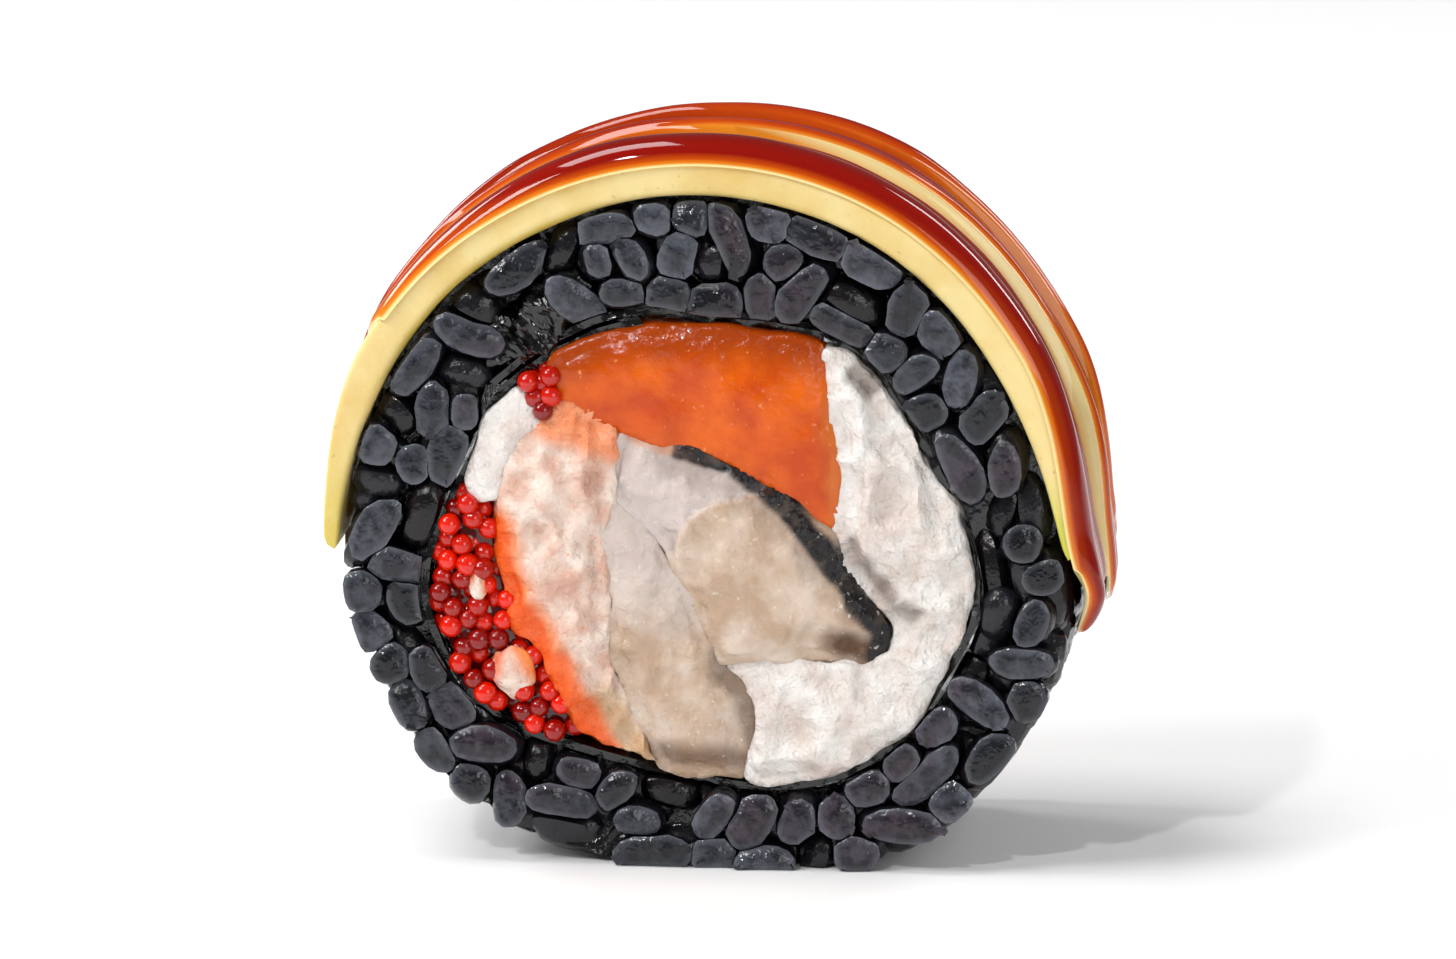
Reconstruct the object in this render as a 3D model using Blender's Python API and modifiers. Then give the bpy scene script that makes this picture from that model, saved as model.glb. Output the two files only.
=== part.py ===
"""One cut piece of a black rice uramaki roll, standing on its round side.

The roll's axis runs along Y and its two cut faces look along -Y and +Y. From the middle outwards it has
the fillings, a nori sheet, black rice, three fanned avocado slices over the top and a thick dark sauce.
Lengths below are in millimetres and angles in degrees, counted from +X over the top as seen from -Y.
Meshes are written in metres, with +Z up and the origin on the floor under the middle of the piece.
"""

import math
import random

import bmesh
import bpy
from mathutils import Matrix, Vector, noise
from mathutils.geometry import delaunay_2d_cdt

MM = 0.001
COLLECTION = "uramaki_roll"

# Driving sizes of the whole piece
DEPTH = 24.0
HALF = DEPTH / 2
GAP = 0.3
AXIS_HEIGHT = 24.0

# Radii of the rice's outside and of the nori's outside, one every 15 degrees
RICE_RADII = (
    24.4, 23.3, 22.8, 22.7, 22.7, 22.6, 22.5, 22.5, 22.6, 22.9, 23.2, 23.7,
    24.4, 25.0, 25.0, 25.7, 25.4, 24.7, 24.3, 25.5, 26.8, 26.8, 26.7, 26.4,
)  # fmt: skip
NORI_RADII = (
    18.3, 17.1, 16.3, 16.4, 15.7, 14.7, 14.3, 14.6, 15.1, 15.7, 16.5, 16.5,
    17.9, 19.9, 20.3, 19.8, 18.5, 17.8, 18.0, 19.2, 20.3, 20.3, 20.1, 20.0,
)  # fmt: skip

# Nori sheet: its ends overlap in a seam at the upper left
NORI_THICKNESS = 0.5
SEAM_START = 108.0
SEAM_END = 148.0
SEAM_STEP = 0.85
SEAM_RUN = 22.0
NORI_RECESS = 0.3
NORI_STATIONS = 44

# The fillings turn a little between the two cut faces
TWIST = 8.0
STILL_RADIUS = 23.0

# Cut faces of the fillings: how far their rims lie back, and the points over them
CAP_STEP = 0.5
CAP_EDGE = 0.22
CAP_RELIEF = 0.25
CAP_SPACING = 2.3
CAP_SLOPE = 3.0

# Each filling of one piece: its finish, and how far its cut faces swell
FILLINGS = {
    "salmon": ("salmon", 0.35),
    "fish_upper": ("fish_upper", 0.55),
    "fish_lower": ("fish_lower", 0.25),
    "shrimp": ("shrimp", 0.4),
    "cream_cheese": ("cream_cheese", 0.3),
    "cream_cheese_left": ("cream_cheese", 0.3),
}

# Rice: where its round side is bare, and where it is pressed flat against the floor
BARE_START, BARE_END = 189.0, 348.0
BARE_BLEND = 3.0
PRESSED_START, PRESSED_END = 254.0, 302.5
PRESSED_BLEND = 4.0
FACE_RECESS = 1.0
SIDE_RECESS = 0.8
RICE_STATIONS = 60
CUTTER_PAST = 4.0
FLOOR_CUTTER = (0.2, 0.2, 0.04)
HOLE_STATIONS = 72

# Rice grains: half of their width and of their lengths, how many of each, and the places tried for each
GRAIN_HALF_WIDTH = 1.35
GRAIN_HALF_LENGTHS = (2.8, 2.1, 1.5)
GRAIN_COUNTS = (12, 20, 40)
GRAIN_TRIES = (60, 90, 260)
GRAIN_SPREAD = 32.0
GRAIN_TILT = 10.0
RICE_SEED = 11

# Least distance of two grains, in widths, and how deep they sit in the rice, in half widths
FACE_SPACING = 0.82
FACE_SINK = (0.75, 1.15)
SIDE_SPACING = 0.98
SIDE_SINK = 0.95
SIDE_START, SIDE_END = 192.0, 346.0
SIDE_RADIUS = 25.4
SIDE_AROUND = 0.6

# Flying fish roe
ROE_RADIUS = 0.85
ROE_RECESS = 0.7
ROE_TRIES = 500
ROE_SPACING = 1.75
ROE_SINK = (0.7, 1.3)
ROE_SEED = 5

# Avocado slices: where each starts and ends round the roll and along it, and their heights over the rice
SLICE_ANGLES = ((-4.0, 185.0), (-15.0, 181.0), (-11.0, 190.0))
SLICE_FRONTS = (-HALF, -0.6, 6.6)
SLICE_HIGH = 2.4
SLICE_LOW = 1.5
SLICE_EDGE = 1.35
SLICE_BEVEL = 0.45
SLICE_BEVEL_RUN = 0.5
SLICE_TAIL = 4.5
SLICE_TAIL_END = 0.3
TIP_SHARE = 0.42
TIP_REACH = 34.0
TIP_ROUND = 7.0
SLICE_STATIONS = 20

# Sauce: how far it runs down each side, front to back, and how thick it lies
SAUCE_ROWS = (-11.9, -11.2, -8.0, -4.6, -1.6, -1.0, 0.4, 3.0, 5.6, 6.2, 8.6, 11.2, 11.9)
SAUCE_RIGHT = (-5.0, -10.0, -17.0, -14.0, -12.0, -9.0, -13.0, -16.0, -13.0, -7.0, -6.0, -12.0, -6.0)
SAUCE_LEFT = (143.0, 149.0, 154.0, 156.0, 157.0, 164.0, 179.0, 175.0, 168.0, 160.0, 154.0, 160.0, 154.0)
SAUCE_STATIONS = 20
SAUCE_EASING = 0.35
SAUCE_THICKNESS = 1.1
SAUCE_EDGE = 0.25
SAUCE_EDGE_RISE = 7.0
SAUCE_RIDGES = (-1.0, 6.2)
SAUCE_RIDGE_SHARE = 0.6

# Corners of a faceted grain or egg lie this much further out than its true size
BLOB_REACH = 1.12

# Edges shorter than this are collapsed after a Boolean
WELD = 0.2

# Colours, linear
COLOURS = {
    "rice": ((0.030, 0.031, 0.037), 0.35),
    "nori": ((0.006, 0.007, 0.006), 0.55),
    "salmon": ((0.62, 0.13, 0.02), 0.35),
    "fish_upper": ((0.56, 0.47, 0.38), 0.45),
    "fish_lower": ((0.52, 0.46, 0.37), 0.45),
    "shrimp": ((0.72, 0.47, 0.37), 0.4),
    "cream_cheese": ((0.84, 0.79, 0.72), 0.55),
    "roe": ((0.62, 0.015, 0.008), 0.15),
    "avocado": ((0.80, 0.68, 0.28), 0.45),
    "sauce": ((0.16, 0.012, 0.003), 0.08),
}


def catmull_rom(a, b, c, d, t):
    """Value between b and c on the smooth curve through four values or points."""
    bend = (2 * a - 5 * b + 4 * c - d) * t**2 + (3 * b - a - 3 * c + d) * t**3
    return 0.5 * (2 * b + (c - a) * t + bend)


def periodic(values, angle):
    """Smooth value at an angle, from values spaced evenly round the circle."""
    count = len(values)
    place = (angle % 360.0) / 360.0 * count
    start = int(place) % count
    t = place - int(place)
    a, b, c, d = (values[(start + k) % count] for k in (-1, 0, 1, 2))
    return catmull_rom(a, b, c, d, t)


def smoothstep(low, high, value):
    """0 below low, 1 above high, and a smooth rise between."""
    t = min(1.0, max(0.0, (value - low) / (high - low)))
    return t * t * (3 - 2 * t)


def polar(radius, angle):
    """Point (x, z) round the roll's axis."""
    return Vector((radius * math.cos(math.radians(angle)), radius * math.sin(math.radians(angle))))


def seam_bulge(angle):
    """How far the overlapping nori end pushes the rice outwards."""
    rise = smoothstep(SEAM_START - SEAM_RUN, SEAM_START - 2, angle)
    return SEAM_STEP * rise * smoothstep(SEAM_END + 8, SEAM_END + 1, angle)


def rice_outside(angle):
    """Outer radius of the rice."""
    return periodic(RICE_RADII, angle)


def rice_inside(angle):
    """Radius of the hole in the rice."""
    return periodic(NORI_RADII, angle) + GAP + seam_bulge(angle)


def filling_edge(angle):
    """Point where the fillings end against the nori, half a gap short of it."""
    return polar(periodic(NORI_RADII, angle) - NORI_THICKNESS - GAP / 2, angle)


def arc(start, end, step=7.0):
    """Points of the fillings' outer edge from one angle to another."""
    count = max(2, round(abs(end - start) / step))
    return [filling_edge(start + (end - start) * k / count) for k in range(count + 1)]


def smooth(points, spacing=1.6, parts=4):
    """Evenly spaced points of a smooth curve through the given ones."""
    given = [Vector(p) for p in points]
    given = [2 * given[0] - given[1], *given, 2 * given[-1] - given[-2]]
    path = []
    for a, b, c, d in zip(given, given[1:], given[2:], given[3:]):
        for k in range(parts):
            path.append(catmull_rom(a, b, c, d, k / parts))
    return spaced([*path, given[-2]], spacing)


def closed_loop(curves):
    """One closed outline from curves that follow each other, without repeated points."""
    outline = []
    for curve in curves:
        for point in curve:
            if not outline or (point - outline[-1]).length > 0.05:
                outline.append(point)
    if (outline[0] - outline[-1]).length <= 0.05:
        outline.pop()
    return outline


def area(outline):
    """Signed area of an outline, positive when it runs anticlockwise."""
    pairs = zip(outline, outline[1:] + outline[:1])
    return sum(a.x * b.y - b.x * a.y for a, b in pairs) / 2


def spaced(points, spacing):
    """An open curve with evenly spaced points, both of its ends kept."""
    lengths = [(b - a).length for a, b in zip(points, points[1:])]
    count = max(1, round(sum(lengths) / spacing))
    step = sum(lengths) / count
    made, walked, target = [], 0.0, 0.0
    for a, b, length in zip(points, points[1:], lengths):
        while target < walked + length - 1e-9 and len(made) < count:
            made.append(a.lerp(b, (target - walked) / length))
            target += step
        walked += length
    return [*made, points[-1]]


def clearance_to(outline, point):
    """Distance from a point to the nearest side of a closed outline."""
    nearest = 1e9
    for a, b in zip(outline, outline[1:] + outline[:1]):
        share = max(0.0, min(1.0, (point - a).dot(b - a) / (b - a).length_squared))
        nearest = min(nearest, (a.lerp(b, share) - point).length)
    return nearest


def inset(outline, distance):
    """The closed outline, made anticlockwise and moved inwards by a distance."""
    if area(outline) < 0:
        outline = outline[::-1]
    moved = []
    for before, point, after in zip(outline[-1:] + outline[:-1], outline, outline[1:] + outline[:1]):
        first = (point - before).normalized()
        tangent = first + (after - point).normalized()
        normal = Vector((-tangent.y, tangent.x)).normalized()
        mitre = max(0.45, normal.dot(Vector((-first.y, first.x))))
        moved.append(point + normal * distance / mitre)
    return [point for point in moved if clearance_to(outline, point) > distance * 0.97]


def inside(outline, point):
    """True if the point lies within the closed outline."""
    crossings = 0
    for a, b in zip(outline, outline[1:] + outline[:1]):
        if (a.y > point.y) != (b.y > point.y):
            crossings += point.x < a.x + (point.y - a.y) / (b.y - a.y) * (b.x - a.x)
    return crossings % 2 == 1


def warped(point, y):
    """Where a point (x, z) of the middle plane lies at depth y: the fillings turn, and the rice stays."""
    share = 1 - smoothstep(8.0, STILL_RADIUS, point.length)
    turn = math.radians(TWIST * y / DEPTH * share)
    return Matrix.Rotation(turn, 2) @ point


def placed(point, y):
    """Point in metres, from (x, z) round the roll's axis and the depth y."""
    return Vector((point.x, y, point.y + AXIS_HEIGHT)) * MM


def material(name):
    """The Principled material of a sub-part."""
    made = bpy.data.materials.get(name)
    if made is None:
        made = bpy.data.materials.new(name)
        made.use_nodes = True
        colour, roughness = COLOURS[name]
        shader = made.node_tree.nodes["Principled BSDF"]
        shader.inputs["Base Color"].default_value = (*colour, 1.0)
        shader.inputs["Roughness"].default_value = roughness
        shader.inputs["Metallic"].default_value = 0.0
    return made


def add_object(name, bm, finish, collection):
    """An object in a collection from a finished bmesh."""
    bmesh.ops.recalc_face_normals(bm, faces=bm.faces[:])
    mesh = bpy.data.meshes.new(name)
    bm.to_mesh(mesh)
    bm.free()
    mesh.shade_smooth()
    mesh.set_sharp_from_angle(angle=math.radians(50))
    mesh.materials.append(material(finish))
    obj = bpy.data.objects.new(name, mesh)
    collection.objects.link(obj)
    return obj


def loft(rings):
    """A closed bmesh through rings of points that match one to one."""
    bm = bmesh.new()
    loops = [[bm.verts.new(point) for point in ring] for ring in rings]
    add_walls(bm, loops)
    bm.faces.new(loops[0][::-1])
    bm.faces.new(loops[-1])
    return bm


def add_walls(bm, loops):
    """Faces between loops of vertices that match one to one."""
    for near, far in zip(loops, loops[1:]):
        for k in range(len(near)):
            n = (k + 1) % len(near)
            bm.faces.new((near[k], near[n], far[n], far[k]))


def filling_cells():
    """The outline of each filling in the middle plane, from the curves where neighbours meet."""
    salmon_left_angle, salmon_right_angle = 135.0, 58.0
    fish_right_angle, fish_left_angle, shrimp_left_angle = 281.0, 263.0, 246.0
    roe_upper_angle, roe_top_angle = 145.0, 172.0
    salmon_corner, salmon_foot = (-9.6, 7.7), (9.3, 0.4)
    crease_top, crease_foot = (-6.4, 2.0), (2.0, -9.6)
    shrimp_top, roe_corner, cream_corner = (-5.5, 6.2), (-14.3, -0.8), (-10.9, 6.2)

    salmon_top = arc(salmon_right_angle, salmon_left_angle)
    salmon_left = smooth([salmon_top[-1], (-10.1, 9.2), salmon_corner])
    salmon_shrimp = smooth([salmon_corner, (-7.6, 7.0), shrimp_top])
    salmon_fish = smooth([shrimp_top, (-3.0, 5.4), (0.2, 4.9), (3.4, 3.9), (6.2, 2.2), salmon_foot])
    salmon_right = smooth([salmon_foot, (9.3, 4.6), (8.5, 9.0), salmon_top[0]])
    skin = [(10.6, -2.4), (12.4, -4.8), (13.5, -6.7)]
    belly = [(12.8, -8.5), (10.0, -8.9), (6.6, -8.6)]
    fish_cream_upper = smooth([salmon_foot, *skin, *belly, crease_foot])
    crease = smooth([crease_top, (-3.6, -0.2), (-1.6, -3.0), (0.6, -6.6), crease_foot])
    shrimp_fish_upper = smooth([shrimp_top, (-6.5, 4.2), crease_top])
    fish_bottom = arc(fish_left_angle, fish_right_angle)
    shrimp_fish_lower = smooth(
        [crease_top, (-6.4, -2.0), (-6.2, -6.4), (-4.7, -11.2), (-3.0, -15.0), fish_bottom[0]]
    )
    fish_cream_lower = smooth([crease_foot, (4.0, -11.6), (4.4, -14.6), fish_bottom[-1]])
    cream_outside = arc(fish_right_angle, salmon_right_angle + 360)
    shrimp_bottom = arc(shrimp_left_angle, fish_left_angle)
    shrimp_roe = smooth([shrimp_bottom[0], (-9.4, -12.1), (-11.7, -8.3), (-13.3, -4.8), roe_corner])
    shrimp_cream = smooth([roe_corner, (-13.5, 1.9), (-12.2, 4.4), cream_corner])
    roe_upper_outside = arc(salmon_left_angle, roe_upper_angle)
    cream_left_outside = arc(roe_upper_angle, roe_top_angle)
    cream_roe = smooth([cream_corner, (-12.0, 8.0), cream_left_outside[0]])
    roe_cream = smooth([cream_left_outside[-1], (-15.4, 0.8), roe_corner])
    roe_outside = arc(roe_top_angle, shrimp_left_angle)
    corner = [Vector(cream_corner), Vector(salmon_corner)]
    shrimp_outside = [shrimp_bottom[::-1], shrimp_roe, shrimp_cream, corner, salmon_shrimp]

    return {
        "salmon": [salmon_top, salmon_left, salmon_shrimp, salmon_fish, salmon_right],
        "fish_upper": [salmon_fish, fish_cream_upper, crease[::-1], shrimp_fish_upper[::-1]],
        "fish_lower": [crease, fish_cream_lower, fish_bottom[::-1], shrimp_fish_lower[::-1]],
        "shrimp": [shrimp_fish_upper, shrimp_fish_lower, *shrimp_outside],
        "cream_cheese": [cream_outside, salmon_right[::-1], fish_cream_upper, fish_cream_lower],
        "cream_cheese_left": [shrimp_cream, cream_roe, cream_left_outside, roe_cream],
        "roe": [roe_cream, shrimp_roe[::-1], roe_outside[::-1]],
        "roe_upper": [salmon_left[::-1], roe_upper_outside, cream_roe[::-1], corner],
    }


def cell_outline(curves, clearance=GAP / 2):
    """The outline of one filling, clear of its neighbours."""
    return inset(closed_loop(curves), clearance)


def prism(outline, reach, steps=4):
    """A closed bmesh of the outline running through the roll, turned as the fillings are."""
    depths = [reach * (2 * k / steps - 1) for k in range(steps + 1)]
    return loft([[placed(warped(point, y), y) for point in outline] for y in depths])


def cut_prism(outline, swell, steps=4):
    """A prism whose two cut faces swell towards their middle and are a little uneven."""
    points = list(outline)
    rows = int(2 * SIDE_RADIUS / CAP_SPACING)
    for i in range(rows):
        for j in range(rows):
            point = Vector((i + (j % 2) / 2 - rows / 2, (j - rows / 2) * 0.87)) * CAP_SPACING
            if inside(outline, point) and clearance_to(outline, point) > CAP_SPACING * 0.42:
                points.append(point)
    sides = [(k, (k + 1) % len(outline)) for k in range(len(outline))]
    made = delaunay_2d_cdt(points, sides, [list(range(len(outline)))], 1, 1e-5)
    flat, faces = made[0], made[2]
    bm = bmesh.new()
    loops = []
    for k in range(steps + 1):
        y = (HALF - CAP_STEP) * (2 * k / steps - 1)
        loops.append([bm.verts.new(placed(warped(point, y), y)) for point in flat[: len(outline)]])
    add_walls(bm, loops)
    for side, rim in ((-1, loops[0]), (1, loops[-1])):
        verts = list(rim)
        for point in flat[len(outline) :]:
            rise = swell * smoothstep(0, CAP_SLOPE, clearance_to(outline, point))
            rise += CAP_RELIEF * noise.noise(Vector((point.x, side * 5.0, point.y)) * 0.45)
            y = side * (HALF - CAP_STEP + CAP_EDGE + rise)
            verts.append(bm.verts.new(placed(warped(point, y), y)))
        for face in faces:
            bm.faces.new([verts[k] for k in face])
    return bm


def build_fillings(cells, collection):
    """Salmon, fish, shrimp and cream cheese, each running from one cut face to the other."""
    for name, (finish, swell) in FILLINGS.items():
        add_object(name, cut_prism(cell_outline(cells[name]), swell), finish, collection)


def build_nori(collection):
    """The nori sheet: a strip that goes once round the fillings and overlaps itself in the seam."""
    bm = bmesh.new()
    sweep = 360.0 + SEAM_END - SEAM_START
    reach = HALF - NORI_RECESS
    rows = []
    for k in range(NORI_STATIONS + 1):
        travel = sweep * k / NORI_STATIONS
        angle = SEAM_START + travel
        step = (SEAM_STEP - 0.03) * smoothstep(360.0 - SEAM_RUN, 360.0 - 2, travel)
        point = polar(periodic(NORI_RADII, angle) - NORI_THICKNESS + step, angle)
        rows.append([bm.verts.new(placed(warped(point, y), y)) for y in (-reach, -reach / 3, reach / 3, reach)])
    for near, far in zip(rows, rows[1:]):
        for k in range(len(near) - 1):
            bm.faces.new((near[k], near[k + 1], far[k + 1], far[k]))
    obj = add_object("nori", bm, "nori", collection)
    sheet = obj.modifiers.new("thickness", "SOLIDIFY")
    sheet.thickness = NORI_THICKNESS * MM
    sheet.offset = 1.0
    face = obj.data.polygons[0]
    if face.normal.dot(face.center - Vector((0, 0, AXIS_HEIGHT * MM))) < 0:
        sheet.offset = -1.0


def grain_gap(first, second, spacing):
    """Room between two grains lying in a plane, each (centre, direction, half length, half width)."""
    best = 1e9
    for s in (-1, 0, 1):
        for t in (-1, 0, 1):
            a = first[0] + first[1] * s * (first[2] - first[3])
            b = second[0] + second[1] * t * (second[2] - second[3])
            best = min(best, (a - b).length)
    return best - spacing * (first[3] + second[3])


def nearest_gap(grain, kept, spacing):
    """Room between a grain and the nearest of those kept so far."""
    near = [other for other in kept if (other[0] - grain[0]).length < other[2] + grain[2] + 1.0]
    return min((grain_gap(grain, other, spacing) for other in near), default=1.0)


def scatter(rng, pick, fits, spacing, snug):
    """Grains packed in a plane, the longest first. The snuggest or the first place with room is taken."""
    kept = []
    for half_length, count, tries in zip(GRAIN_HALF_LENGTHS, GRAIN_COUNTS, GRAIN_TRIES):
        for _ in range(count):
            places = []
            for _ in range(tries):
                centre, along = pick(rng)
                width = GRAIN_HALF_WIDTH * rng.uniform(0.9, 1.08)
                length = max(width * 1.04, half_length * rng.uniform(0.9, 1.1))
                direction = Matrix.Rotation(math.radians(rng.gauss(0, GRAIN_SPREAD)), 2) @ along
                grain = (centre, direction, length, width)
                if fits(grain):
                    places.append((nearest_gap(grain, kept, spacing), len(places), grain))
            free = [place for place in places if place[0] > 0]
            if free:
                kept.append(min(free)[2] if snug else free[0][2])
    return kept


def face_grains(seed):
    """Grains on a cut face, in the ring between the nori and the rice's outside."""

    def pick(rng):
        angle = rng.uniform(0, 360)
        inner, outer = rice_inside(angle), rice_outside(angle)
        radius = rng.uniform(inner, outer)
        centre = polar(radius, angle)
        return centre, Vector((-centre.y, centre.x)).normalized()

    def fits(grain):
        centre, direction, length, width = grain
        for end in (-1, 1):
            tip = centre + direction * end * (length - width)
            angle = math.degrees(math.atan2(tip.y, tip.x))
            bare = BARE_START + BARE_BLEND < angle % 360.0 < BARE_END
            if tip.length + width > rice_outside(angle) + (0.15 if bare else -0.1):
                return False
            if tip.length - width * 0.7 < rice_inside(angle):
                return False
        return True

    return scatter(random.Random(seed), pick, fits, FACE_SPACING, True)


def side_grains(seed):
    """Grains on the rice's bare round side, in the plane (arc length, depth)."""
    low, high = (math.radians(a) * SIDE_RADIUS for a in (SIDE_START, SIDE_END))
    reach = HALF - 1.5

    def pick(rng):
        along = Vector((1.0, 0.0)) if rng.random() < SIDE_AROUND else Vector((0.0, 1.0))
        return Vector((rng.uniform(low, high), rng.uniform(-reach, reach))), along

    def fits(grain):
        centre, direction, length, width = grain
        return abs(centre.y) + abs(direction.y) * (length - width) + width < HALF - 0.2

    return scatter(random.Random(seed), pick, fits, SIDE_SPACING, False)


def add_blob(bm, centre, axes, sizes):
    """A low faceted ellipsoid with its half sizes along three axes, all in millimetres."""
    turn = Matrix([a * s * MM for a, s in zip(axes, sizes)]).transposed().to_4x4()
    bmesh.ops.create_icosphere(bm, subdivisions=1, radius=BLOB_REACH, matrix=Matrix.Translation(centre) @ turn)


def fused(name, core, blobs, finish, collection, cutters):
    """One solid of a core with small pieces fused on and trimmed by (cutter, operation) pairs."""
    helpers = bpy.data.collections.new(name + "_pieces")
    bpy.context.scene.collection.children.link(helpers)
    obj = add_object(name, core, finish, collection)
    for index, (centre, axes, sizes) in enumerate(blobs):
        piece = bmesh.new()
        add_blob(piece, centre, axes, sizes)
        add_object(f"{name}_piece_{index}", piece, finish, helpers)
    union = obj.modifiers.new("fuse", "BOOLEAN")
    union.operation = "UNION"
    union.operand_type = "COLLECTION"
    union.collection = helpers
    union.solver = "MANIFOLD"
    for cutter, operation in cutters:
        trim = obj.modifiers.new("trim", "BOOLEAN")
        trim.operation = operation
        trim.object = cutter
        trim.solver = "MANIFOLD"
    apply_modifiers(obj)
    for helper in [*helpers.objects, *(cutter for cutter, _ in cutters)]:
        bpy.data.objects.remove(helper)
    bpy.data.collections.remove(helpers)
    keep_outer_shell(obj)
    return obj


def apply_modifiers(obj):
    """Puts what the object's modifiers make into its mesh."""
    graph = bpy.context.evaluated_depsgraph_get()
    made = bpy.data.meshes.new_from_object(obj.evaluated_get(graph))
    obj.modifiers.clear()
    obj.data = made


def weld(bm):
    """Collapses the shortest edges a Boolean leaves, where that keeps the surface closed."""
    short = sorted((e for e in bm.edges if e.calc_length() < WELD * MM), key=lambda e: e.calc_length())
    for edge in short:
        if not edge.is_valid or len(edge.link_faces) != 2:
            continue
        first, second = edge.verts
        rims = [{e.other_vert(v) for e in v.link_edges} for v in (first, second)]
        if len(rims[0] & rims[1]) == 2 and min(len(v.link_edges) for v in rims[0] & rims[1]) > 3:
            bmesh.ops.pointmerge(bm, verts=[first, second], merge_co=(first.co + second.co) / 2)


def keep_outer_shell(obj):
    """Drops loose scraps and fills sealed hollows, by keeping the one largest shell."""
    bm = bmesh.new()
    bm.from_mesh(obj.data)
    bmesh.ops.triangulate(bm, faces=bm.faces[:])
    weld(bm)
    shells, seen = [], set()
    for start in bm.faces:
        if start in seen:
            continue
        shell, queue = [], [start]
        seen.add(start)
        while queue:
            face = queue.pop()
            shell.append(face)
            for edge in face.edges:
                for other in edge.link_faces:
                    if other not in seen:
                        seen.add(other)
                        queue.append(other)
        shells.append(shell)
    largest = max(shells, key=len)
    bmesh.ops.delete(bm, geom=[f for s in shells if s is not largest for f in s], context="FACES")
    bm.to_mesh(obj.data)
    bm.free()


def cutter_from(name, bm):
    """A helper object that shapes others and isn't part of the piece."""
    obj = add_object(name, bm, "rice", bpy.data.collections["cutters"])
    obj.hide_render = True
    obj.display_type = "WIRE"
    return obj


def bareness(angle):
    """1 where the rice's round side is bare, and 0 under the avocado and where the rice is pressed flat."""
    bare = smoothstep(BARE_START - BARE_BLEND, BARE_START + BARE_BLEND, angle)
    bare *= smoothstep(BARE_END + BARE_BLEND, BARE_END - BARE_BLEND, angle)
    pressed = smoothstep(PRESSED_START - PRESSED_BLEND, PRESSED_START + PRESSED_BLEND, angle)
    pressed *= smoothstep(PRESSED_END + PRESSED_BLEND, PRESSED_END - PRESSED_BLEND, angle)
    return bare * (1 - pressed)


def build_rice(collection):
    """The black rice: a ring with grains standing out of both cut faces and of its bare round side."""
    angles = [360.0 * k / RICE_STATIONS for k in range(RICE_STATIONS)]
    reach = HALF - FACE_RECESS
    outside = [polar(rice_outside(angle) - SIDE_RECESS * bareness(angle), angle) for angle in angles]
    core = loft([[placed(p, y) for p in outside] for y in (-reach, reach)])

    blobs = []
    for seed, side in ((RICE_SEED, -1), (RICE_SEED + 1, 1)):
        rng = random.Random(seed + 100)
        for centre, direction, length, width in face_grains(seed):
            y = side * (HALF - rng.uniform(*FACE_SINK) * width)
            tilt = math.radians(rng.gauss(0, GRAIN_TILT))
            axis = Vector((direction.x * math.cos(tilt), math.sin(tilt), direction.y * math.cos(tilt)))
            across = Vector((-direction.y, 0, direction.x))
            blobs.append((placed(centre, y), (axis, across, axis.cross(across)), (length, width, width * 0.95)))
    for centre, direction, length, width in side_grains(RICE_SEED + 2):
        angle = math.degrees(centre.x / SIDE_RADIUS)
        radius = rice_outside(angle) - width * SIDE_SINK
        out = polar(1.0, angle)
        tangent = Vector((-out.y, 0, out.x))
        axis = tangent * direction.x + Vector((0, 1, 0)) * direction.y
        normal = Vector((out.x, 0, out.y))
        axes = (axis, normal.cross(axis), normal)
        blobs.append((placed(polar(radius, angle), centre.y), axes, (length, width, width)))

    hole_angles = [360.0 * k / HOLE_STATIONS for k in range(HOLE_STATIONS)]
    hole = [polar(rice_inside(angle), angle) for angle in hole_angles]
    plug = cutter_from("hole_cutter", prism(hole, HALF + CUTTER_PAST, steps=8))
    floor = bmesh.new()
    below = Matrix.Translation((0.0, 0.0, -FLOOR_CUTTER[2] / 2)) @ Matrix.Diagonal((*FLOOR_CUTTER, 1.0))
    bmesh.ops.create_cube(floor, size=1.0, matrix=below)
    ground = cutter_from("floor_cutter", floor)
    fused("rice", core, blobs, "rice", collection, [(plug, "DIFFERENCE"), (ground, "DIFFERENCE")])


def build_roe(name, curves, seed, collection):
    """Flying fish roe: a core that runs through the roll, with eggs standing out of its two cut faces."""
    outline = cell_outline(curves)
    room = cell_outline(curves, GAP / 2 + ROE_RADIUS)
    reach = HALF - ROE_RECESS
    rng = random.Random(seed)
    xs, zs = [p.x for p in outline], [p.y for p in outline]
    axes = (Vector((1, 0, 0)), Vector((0, 1, 0)), Vector((0, 0, 1)))
    blobs = []
    for side in (-1, 1):
        kept = []
        for _ in range(ROE_TRIES):
            point = Vector((rng.uniform(min(xs), max(xs)), rng.uniform(min(zs), max(zs))))
            if inside(room, point) and all((point - other).length > ROE_RADIUS * ROE_SPACING for other in kept):
                kept.append(point)
        for point in kept:
            y = side * (HALF - ROE_RADIUS * rng.uniform(*ROE_SINK))
            blobs.append((placed(warped(point, y), y), axes, (ROE_RADIUS,) * 3))
    fused(name, prism(outline, reach), blobs, "roe", collection, [])


def slice_share(index, angle):
    """How thick a slice is at an angle, from its thin tips to its full middle."""
    start, end = SLICE_ANGLES[index]
    angle = max(start, min(angle, end))
    rise = smoothstep(0, TIP_REACH, angle - start) * smoothstep(0, TIP_REACH, end - angle)
    return TIP_SHARE + (1 - TIP_SHARE) * rise


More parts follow.
